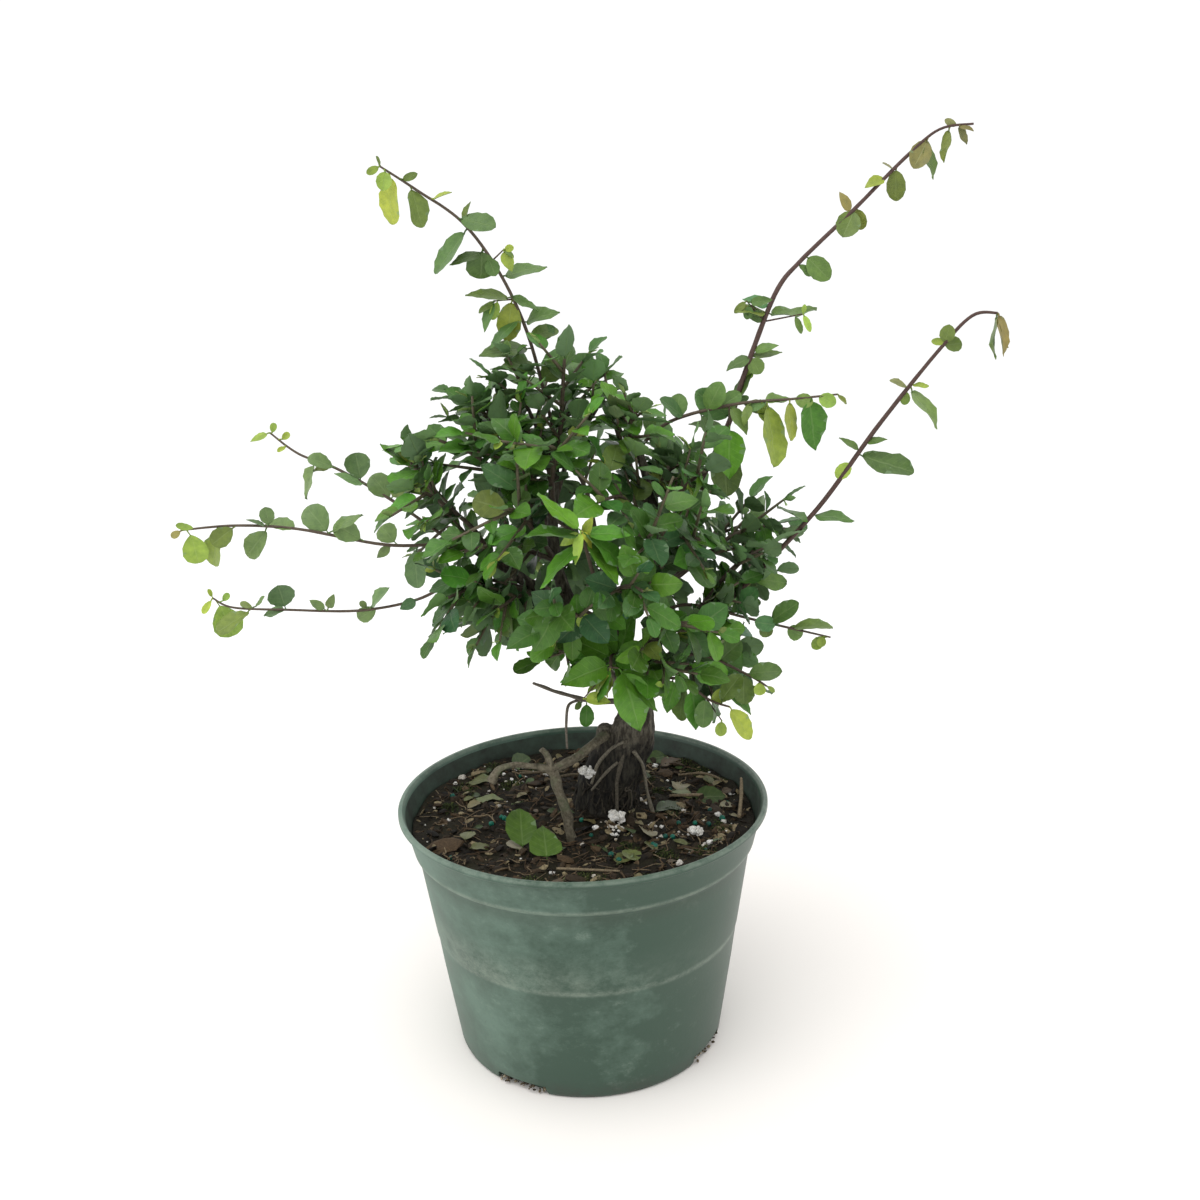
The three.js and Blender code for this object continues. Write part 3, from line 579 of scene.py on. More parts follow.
# Feed prills: smooth round beads of slow feed in a blue-green resin coat, scattered by hand over the
# top of the mix. Most lie at the front and on the right.
prill_count = 26
prill_places = [
    (-1, -12), (3, -24), (11, -42), (49, -15), (55, -16), (-37, -2), (-34, -5), (30, -36), (66, 8),
    (51, -40), (35, -27), (38, -29), (-57, -36), (14, -46), (57, -3), (64, 3)]
smooth_ball, smooth_ball_faces = grain_shape(2)
prills = Heap()
for k in range(prill_count):
    x, y = prill_places[k] if k < len(prill_places) else on_bed(draw, reach=70)
    radius = draw.uniform(0.9, 1.4)
    prills.add(smooth_ball * radius + (x, y, rough_height(x, y) + 0.5 * radius), smooth_ball_faces,
               draw.random())
prills.piece("feed_prills", toned_finish("feed_prill", [(0.004, 0.06, 0.045), (0.01, 0.17, 0.11)],
                                         roughness=0.4, grain=0.8, depth=0.05), "potting_mix")


# Soil fibres: threads of peat, rootlets and torn bark, thin and bent, that lie over the chips. Like
# every stem and root of the plant they are round tapering strands through a few points.
def curve_spot(points, k, part):
    """A spot a part of the way from point k to the next on a smooth curve through all the points."""
    before = points[max(k - 1, 0)]
    here = points[k]
    after = points[k + 1]
    beyond = points[min(k + 2, len(points) - 1)]
    p2 = part * part
    p3 = p2 * part
    return 0.5 * (2 * here + (after - before) * part + (2 * before - 5 * here + 4 * after - beyond) * p2
                  + (3 * here - before - 3 * after + beyond) * p3)


def strand(rows, sides, steps, lumps=0, seed=0):
    """A round strand through rows of x, y, z and radius, with closed ends: so many sides round it, so
    many steps from row to row, and its radius uneven by lumps in a pattern that seed chooses."""
    rows = np.asarray(rows, float)
    spots = [curve_spot(rows, k, step / steps) for k in range(len(rows) - 1) for step in range(steps)]
    spots = np.array(spots + [rows[-1]])
    places, radii = spots[:, :3], np.maximum(spots[:, 3], 0.05)
    headings = np.gradient(places, axis=0)
    headings /= np.linalg.norm(headings, axis=1, keepdims=True) + 1e-12
    side = np.cross(headings[0], (0.31, 0.87, 0.17))
    points = []
    for place, heading, radius in zip(places, headings, radii):
        side = side - heading * (side @ heading)
        side /= np.linalg.norm(side)
        front = np.cross(heading, side)
        for k in range(sides):
            turn = 2 * math.pi * k / sides
            swell = 1
            if lumps:
                probe = Vector(place * 0.16 + seed) + Vector((math.cos(turn), math.sin(turn), 0)) * 1.3
                swell = 1 + lumps * noise.noise(probe)
            points.append(place + radius * swell * (math.cos(turn) * side + math.sin(turn) * front))
    rings = len(places)
    faces = []
    for ring in range(rings - 1):
        for k in range(sides):
            a = ring * sides + k
            b = ring * sides + (k + 1) % sides
            faces.append((a, b, b + sides, a + sides))
    faces.append(tuple(range(sides))[::-1])
    faces.append(tuple((rings - 1) * sides + k for k in range(sides)))
    return np.array(points), faces


fibre_count = 380
fibres = Heap()
for k in range(fibre_count):
    x, y = on_bed(draw, reach=72)
    turn = any_turn(draw)
    length = draw.uniform(3, 13)
    thick = draw.uniform(0.12, 0.32)
    rows = []
    for part in (0, 0.35, 0.7, 1):
        at_x = x + length * (part - 0.5) * math.cos(turn) + draw.gauss(0, 0.6)
        at_y = y + length * (part - 0.5) * math.sin(turn) + draw.gauss(0, 0.6)
        if math.hypot(at_x, at_y) < loose_reach:
            rows.append((at_x, at_y, rough_height(at_x, at_y) + 0.5 + draw.uniform(0, 0.9), thick))
    if len(rows) > 2:
        fibres.add(*strand(rows, sides=4, steps=3), draw.random())
fibres.piece("soil_fibres", toned_finish("soil_fibre", [
    (0.025, 0.017, 0.01), (0.095, 0.06, 0.032), (0.27, 0.21, 0.13)], roughness=0.8), "potting_mix")


# Trunk: live wood, thick and leaning to the right, that stands on a dark, damp mass of old roots and
# forks low into six limbs. Grey-brown flaking bark above, wet fibrous root below.
trunk_rows = [(11, 5, 92, 14.5), (12, 4.5, 108, 13), (14, 4, 120, 12), (18, 3, 131, 11),
              (23, 2, 142, 10), (25, 1, 152, 8.5), (25, 1, 164, 6.5)]
root_mass_rows = [(5, 3, 94, 10.5), (6, 3, 106, 9.5), (7, 2, 120, 8), (10, 1, 136, 6), (11, 0.5, 147, 3)]
limbs = {
    "right": [(25, 1, 158, 5.5), (31, 2, 176, 4.3), (36, 1, 198, 3.6), (33, 1, 222, 3), (34, 3, 248, 2.4),
              (28, 4, 270, 1.8)],
    "left": [(25, 1, 158, 5.2), (12, 3, 176, 3.8), (0, 4, 196, 3.3), (-8, 5, 222, 2.7), (-8, 5, 248, 2.2),
             (-6, 5, 273, 1.8)],
    "far_left": [(0, 4, 196, 2.6), (-14, 3, 208, 2.4), (-28, 0, 220, 2.1), (-41, -2, 229, 1.6)],
    "low": [(26, 1, 160, 3.6), (38, 1, 174, 3), (49, 0, 188, 2)],
    "front": [(25, 1, 158, 3.8), (22, -12, 176, 2.8), (16, -24, 196, 2.2), (10, -34, 216, 1.6)],
    "back": [(25, 2, 160, 3.8), (22, 16, 182, 2.9), (16, 30, 204, 2.3), (10, 40, 226, 1.6)],
}
# the flare of the root mass: heights, its middle there, its radius, and how far out its strands lie
flare_z = (92, 120, 142)
flare_x = (9, 12, 22)
flare_y = 4
flare_radii = (14.5, 12, 9.5)
strand_reach = (15.6, 13.2, 10.6)
old_root_count = 16
bark_voxel = 0.9
bark_relief = 0.9


def bark():
    """Grey-brown bark in long ridges and flakes, and black wet root below an uneven edge."""
    finish = Finish("grey_brown_bark", roughness=0.8, shine=0.25)
    place = finish.spots()
    ridges = finish.clouds(finish.spots((1, 1, 0.22)), 0.6, 6, 0.7)
    flakes = finish.clouds(place, 0.22)
    grain = finish.clouds(place, 1.6, 4, 0.7)
    aged = finish.tinted(finish.stepped(flakes, 0.35, 0.7), (0.07, 0.06, 0.042), (0.23, 0.21, 0.165))
    aged = finish.tinted(finish.stepped(ridges, 0.62, 0.4), aged, (0.03, 0.025, 0.018))
    damp = finish.tinted(finish.stepped(ridges, 0.42, 0.72), (0.005, 0.0045, 0.004), (0.055, 0.05, 0.036))
    # the bark is wet up to an uneven edge about 140 mm up
    damp_edge = finish.worked("MULTIPLY_ADD", flakes, 34, 123)
    wetness = finish.worked("SUBTRACT", damp_edge, finish.axis(place, "Z"))
    finish.paint(finish.tinted(finish.stepped(wetness, -5, 5), aged, damp))
    finish.raised(finish.worked("ADD", ridges, finish.times(grain, 0.3)), depth_mm=1.0, strength=0.8)
    return finish.material


def on_root_mass(z, turn, out, depth):
    """A place so far out from the middle of the root mass at a height, narrower front to back."""
    middle = np.interp(z, flare_z, flare_x)
    return middle + out * math.cos(turn), flare_y + out * depth * math.sin(turn), z


def at_vertices(mesh, kind):
    """What a mesh keeps at its vertices under this name, in rows of three."""
    kept = np.empty(len(mesh.vertices) * 3)
    mesh.vertices.foreach_get(kind, kept)
    return kept.reshape(-1, 3)


bark_finish = bark()
core = Heap()
for rows in [trunk_rows, root_mass_rows] + [limb[:3] for limb in limbs.values()]:
    core.add(*strand(rows, sides=28, steps=8, lumps=0.16, seed=5), 0)
for k in range(old_root_count):
    turn = any_turn(draw)
    lean = draw.uniform(-0.3, 0.3)
    rows = []
    for step in range(6):
        z = 98 + 8.5 * step
        at = turn + lean * step * 0.4
        rows.append((*on_root_mass(z, at, np.interp(z, flare_z, flare_radii), 0.85), 2.6 - 0.25 * step))
    core.add(*strand(rows, sides=10, steps=5, lumps=0.2, seed=k), 0)
trunk = make_piece("trunk_core", np.concatenate(core.points), core.faces, [bark_finish], None)
remesh = trunk.modifiers.new("grown_together", "REMESH")
remesh.mode = "VOXEL"
remesh.voxel_size = bark_voxel * 0.001
settle_modifiers(trunk)
spots = at_vertices(trunk.data, "co")
relief = [noise.fractal(Vector((x * 260, y * 260, z * 70)), 1, 2.1, 4) for x, y, z in spots]
spots += at_vertices(trunk.data, "normal") * np.array(relief)[:, None] * (bark_relief * 0.001)
trunk.data.vertices.foreach_set("co", spots.ravel())
trunk.data.materials.clear()
trunk.data.materials.append(bark_finish)
trunk.data.shade_smooth()
dress(trunk, ["trunk"])


# Limbs: the six limbs that fork from the trunk and carry the crown, thin and bent, under the same
# bark. They grew out of the trunk, so their lower ends are sunk in it.
wood = Heap()
for rows in limbs.values():
    wood.add(*strand(rows, sides=12, steps=10, lumps=0.22, seed=9), 0)
wood.piece("limbs", bark_finish, "live_wood")


# Dry twigs: the bare remains of a low branch, dead and grey, that reach forward and to the left from
# the fork, with one end hanging.
dry_twigs = [
    [(25, 1, 158, 1.8), (14, -4, 160, 1.5), (5, -8, 162, 1.4), (-9, -17, 170, 1.1), (-19, -24, 177, 0.8)],
    [(5, -8, 162, 1), (-1, -11, 163.5, 0.8), (-5, -15, 162.5, 0.9), (-6, -18, 155, 0.8),
     (-6, -20, 145.2, 0.6)],
]


def thinned(rows, share):
    """Rows of x, y, z and radius with every radius taken down to a share of it."""
    return [(x, y, z, share * radius) for x, y, z, radius in rows]


dry = Heap()
for rows in dry_twigs:
    dry.add(*strand(thinned(rows, 0.75), sides=7, steps=8, lumps=0.4, seed=2), 0.5)
dry.piece("dry_twigs", toned_finish("dry_twig", [(0.1, 0.085, 0.065), (0.2, 0.175, 0.14)],
                                    roughness=0.8), "live_wood")


# Root strands: thin surface roots that grew down over the root mass, some of them dried pale and
# lifting off it, most of them fine and black with damp.
root_strands = [
    [(20, -7, 143, 1.2), (17, -8, 132, 1.2), (15, -8, 121, 1.1), (15, -9, 108, 1), (15, -11, 99, 1)],
    [(19, -7, 142, 1.3), (12, -5, 137, 1.1), (7, -5.5, 131, 1), (4, -5.5, 122, 0.9)],
    [(16, -8, 133, 1), (10, -7, 127, 0.9), (4, -6, 119, 0.8)],
    [(23, -8, 138, 1.1), (27, -4, 129, 1), (28.5, -3, 118, 1), (31, -4, 107, 1), (34, -4, 99, 1)],
]
fine_strand_count = 46
rootlets = Heap()
for rows in root_strands:
    rootlets.add(*strand(thinned(rows, 0.78), sides=8, steps=7, lumps=0.55, seed=4),
                 draw.uniform(0.6, 0.85))
for k in range(fine_strand_count):
    turn = draw.uniform(-3.0, 0.3)
    top = draw.uniform(112, 141)
    rows = []
    for step in range(5):
        z = top - step * draw.uniform(3, 6)
        out = np.interp(z, flare_z, strand_reach) + draw.uniform(0, 1)
        at = turn + 0.12 * step * draw.gauss(0, 1)
        rows.append((*on_root_mass(z, at, out, 0.9), draw.uniform(0.2, 0.5)))
    rootlets.add(*strand(rows, sides=5, steps=4), 0.6 * draw.random() ** 2)
rootlets.piece("root_strands", toned_finish("root_strand", [
    (0.014, 0.012, 0.009), (0.05, 0.042, 0.03), (0.26, 0.235, 0.18)], roughness=0.8), "live_wood")


# Exposed root: a dead, bare grey-green root left above the soil, that stands up at the left and forks,
# with one arm against the root mass and one free. It grew as one piece and lost its bark.
exposed_rows = [
    [(-5, -24, 92, 2.2), (-6, -25, 108, 2.1), (-9, -26, 124, 1.9), (-12.5, -26, 138, 2.2)],
    [(-13.5, -26, 138, 1.7), (-3, -20, 140.6, 1.8), (4, -13, 142.8, 1.9), (11, -2, 144, 2.3)],
    [(-12.5, -27, 139, 1.1), (-5, -22.6, 141.5, 0.9), (-1, -18, 139.4, 1), (5, -13.5, 143.4, 1.2),
     (11, -4, 143, 1.3)],
    [(-12, -26, 138, 1.8), (-25, -28, 142, 1.2), (-34, -30, 141.5, 1.4), (-38.5, -31, 136, 2)],
    [(-12.5, -26, 138, 1.8), (-14.5, -24, 144, 1.6), (-17, -24, 147, 1.4)],
]


def bare_root():
    """Bare weathered wood in fine ridges, with grey-green patches of algae."""
    finish = Finish("weathered_root", roughness=0.85, shine=0.25)
    ridges = finish.clouds(finish.spots(), 0.55, 6, 0.7)
    patches = finish.clouds(finish.spots(), 0.12, 3)
    color = finish.tinted(finish.stepped(ridges, 0.3, 0.7), (0.042, 0.036, 0.024), (0.215, 0.19, 0.135))
    finish.paint(finish.tinted(finish.stepped(patches, 0.5, 0.7), color, (0.105, 0.125, 0.07)))
    finish.raised(ridges, depth_mm=0.8, strength=0.9)
    return finish.material


dead = Heap()
for k, rows in enumerate(exposed_rows):
    dead.add(*strand(rows, sides=12, steps=12, lumps=0.6, seed=3 * k), 0)
dead.piece("exposed_dead_root", bare_root(), "dead_wood", ["exposed_root"])


# Leafy shoots: long young stems with alternate leaves on short stalks. Each leaf is oval with a
# pointed tip, finely toothed, glossy above and paler below, folded a little along its midrib.
leaf_rows = 13
leaf_across = (-1, -0.52, 0, 0.52, 1)
stalk_share = 0.1
blade_thickness = 0.3
leaf_fold = 0.16
leaf_droop = 0.1
# painted light and shade: the front green is brighter for leaves that catch the light, the shade green darker
# for leaves deep in the crown, and the bluish green is a painted reflection of the white light
leaf_colors = {
    "plain": (0.048, 0.132, 0.017), "front": (0.07, 0.2, 0.016), "young": (0.26, 0.37, 0.055),
    "olive": (0.14, 0.205, 0.042), "bronze": (0.2, 0.185, 0.06), "shade": (0.028, 0.078, 0.017),
    "bluish_sheen": (0.046, 0.12, 0.038), "shoot": (0.092, 0.17, 0.038), "dusty": (0.125, 0.2, 0.064),
}
tooth_out = 0.03
tooth_in = 0.02


def unit(vector):
    return vector / (np.linalg.norm(vector) + 1e-12)


def blade_template():
    """Where the points of a blade are, from base to tip and from side to side, and how far each edge
    point is toothed out. Then which points are on its edge, and the faces above and below."""
    columns = len(leaf_across)
    grid = []
    for k in range(leaf_rows):
        reach = 0.5 - 0.5 * math.cos(math.pi * k / (leaf_rows - 1))
        tooth = 1 + (tooth_out if k % 2 else -tooth_in)
        grid += [(reach, out, tooth if abs(out) == 1 else 1) for out in leaf_across]
    grid = np.array(grid)
    edge = np.abs(grid[:, 1]) == 1
    below = np.arange(len(grid))
    below[~edge] = len(grid) + np.arange((~edge).sum())
    faces = []
    for row in range(leaf_rows - 1):
        for column in range(columns - 1):
            a = row * columns + column
            faces.append((a, a + columns, a + columns + 1, a + 1))
    underside = [tuple(int(below[corner]) for corner in face[::-1]) for face in faces]
    return grid, edge, faces, underside


blade_grid, blade_edge, blade_top, blade_under = blade_template()


class Spray(Heap):
    """A stem with its leaves: the stem and stalks take the first finish, blades the next two."""

    def __init__(self):
        super().__init__()
        self.finishes = []
        self.places = []
        self.sharp = []

    def wood(self, rows, sides, steps, color, lumps=0.12):
        points, faces = strand(rows, sides, steps, lumps, seed=1)
        self.add(points, faces, color)
        self.places.append(np.zeros((len(points), 3)))
        self.finishes += [0] * len(faces)

    def leaf(self, base, tip, width, face, color, draw, root=None, belly=0.5, point=0.7,
             stalk=stalk_share):
        """A leaf whose stalk starts at root. belly below 0.5 is broad near its base, and point is 0.5
        for a round tip and 1 for a sharp one."""
        along = unit(tip - base)
        length = np.linalg.norm(tip - base)
        up = unit(face - along * (face @ along))
        side = np.cross(along, up)
        root = base if root is None else root
        stalk_end = base + along * (stalk * length)
        middle = 0.5 * (root + stalk_end) + up * 0.3
        self.wood([(*root, 0.42), (*middle, 0.34), (*stalk_end, 0.3)], sides=4, steps=2,
                  color=np.array(color) * 0.75, lumps=0)
        start = stalk * 0.75
        reach = start + (1 - start) * blade_grid[:, 0]
        broadest = belly / (belly + point)
        fullest = broadest ** belly * (1 - broadest) ** point
        part = np.clip(blade_grid[:, 0], 0, 1)
        half = part ** belly * (1 - part) ** point / fullest
        across = blade_grid[:, 1]
        out = across * blade_grid[:, 2] * np.maximum(half, 0.03) * width / 2
        fold = leaf_fold * draw.uniform(0.4, 1.9)
        curl = draw.uniform(-0.07, 0.09) * length
        wave = draw.uniform(0.0, 0.05) * length
        twist = draw.gauss(0, 0.16) * reach
        lift = (leaf_droop * length * (reach - reach * reach) + fold * np.abs(out) - curl * reach ** 3
                + wave * np.sin(9 * reach + draw.uniform(0, 6)) * across ** 2 + twist * out)
        quilt = 0.012 * length * np.cos(across * 3.1) * np.cos(reach * 34)
        top = base + np.outer(reach * length, along) + np.outer(-out, side) + np.outer(lift + quilt, up)
        under = top[~blade_edge] - up * blade_thickness
        places = np.column_stack([reach * length, across, np.full(len(reach), draw.random())])
        self.sharp += [index + self.count for index in np.nonzero(blade_edge)[0]]
        self.add(np.concatenate([top, under]), blade_top + blade_under, color)
        self.places.append(np.concatenate([places, places[~blade_edge]]))
        self.finishes += [1] * len(blade_top) + [2] * len(blade_under)

    def piece(self, name, slot, nodes=()):
        made = make_piece(name, np.concatenate(self.points), self.faces, spray_finishes, slot, nodes,
                          finish_of_face=self.finishes,
                          notes={"tone": np.concatenate(self.tones), "place": np.concatenate(self.places)})
        rim = np.zeros(len(made.data.vertices), bool)
        rim[self.sharp] = True
        ends = np.empty(len(made.data.edges) * 2, int)
        made.data.edges.foreach_get("vertices", ends)
        ends = ends.reshape(-1, 2)
        made.data.edges.foreach_set("use_edge_sharp", rim[ends[:, 0]] & rim[ends[:, 1]])


def leaf_finish(name, roughness, shine, is_under=False):
    """Glossy green with a pale midrib and side veins, or the duller, paler underside."""
    finish = Finish(name, roughness, shine)
    color = finish.node("ShaderNodeAttribute", attribute_name="tone").outputs["Color"]
    place = finish.node("ShaderNodeAttribute", attribute_name="place").outputs["Vector"]
    across = finish.worked("ABSOLUTE", finish.axis(place, "Y"))
    rib = finish.stepped(across, 0.09, 0.02)
    slant = finish.worked("MULTIPLY_ADD", across, -3.4, finish.axis(place, "X"))
    veins = finish.stepped(finish.worked("SINE", finish.times(slant, 2.3)), 0.86, 1.0)
    mottle = finish.clouds(finish.spots(), 0.35, 3)
    shaded = finish.tinted(finish.stepped(mottle, 0.3, 0.7), (0.78, 0.8, 0.8), (1.16, 1.12, 1.05))
    blade = finish.tinted(1.0, color, shaded, "MULTIPLY")
    if is_under:
        blade = finish.tinted(0.5, blade, (0.2, 0.29, 0.17))
    marks = finish.most(rib, finish.times(veins, 0.4))
    pale = finish.tinted(0.3, color, (0.36, 0.45, 0.2))
    finish.paint(finish.tinted(finish.times(marks, 0.4), blade, pale))
    finish.raised(finish.worked("SUBTRACT", mottle, marks), depth_mm=0.2, strength=0.5)
    return finish.material


def stem_finish():
    """The thin mottled bark of a young stem, in the colour kept at each stem."""
    finish = Finish("young_stem", roughness=0.6, shine=0.3)
    color = finish.node("ShaderNodeAttribute", attribute_name="tone").outputs["Color"]
    mottle = finish.clouds(finish.spots(), 0.9)
    shaded = finish.tinted(finish.stepped(mottle, 0.3, 0.7), (0.7, 0.7, 0.7), (1.2, 1.2, 1.2))
    finish.paint(finish.tinted(1.0, color, shaded, "MULTIPLY"))
    finish.raised(mottle, depth_mm=0.2, strength=0.6)
    return finish.material


spray_finishes = [stem_finish(), leaf_finish("leaf_top", roughness=0.4, shine=0.3),
                  leaf_finish("leaf_underside", roughness=0.62, shine=0.15, is_under=True)]


def part_way(rows, share):
    """The straight-line spot at a share of the length along the rows, its row and part, and heading."""
    lengths = [np.linalg.norm(rows[k + 1][:3] - rows[k][:3]) for k in range(len(rows) - 1)]
    left = share * sum(lengths)
    k = 0
    while k < len(lengths) - 1 and left > lengths[k]:
        left -= lengths[k]
        k += 1
    heading = unit(rows[k + 1][:3] - rows[k][:3])
    return rows[k][:3] + heading * left, k, left / lengths[k], heading
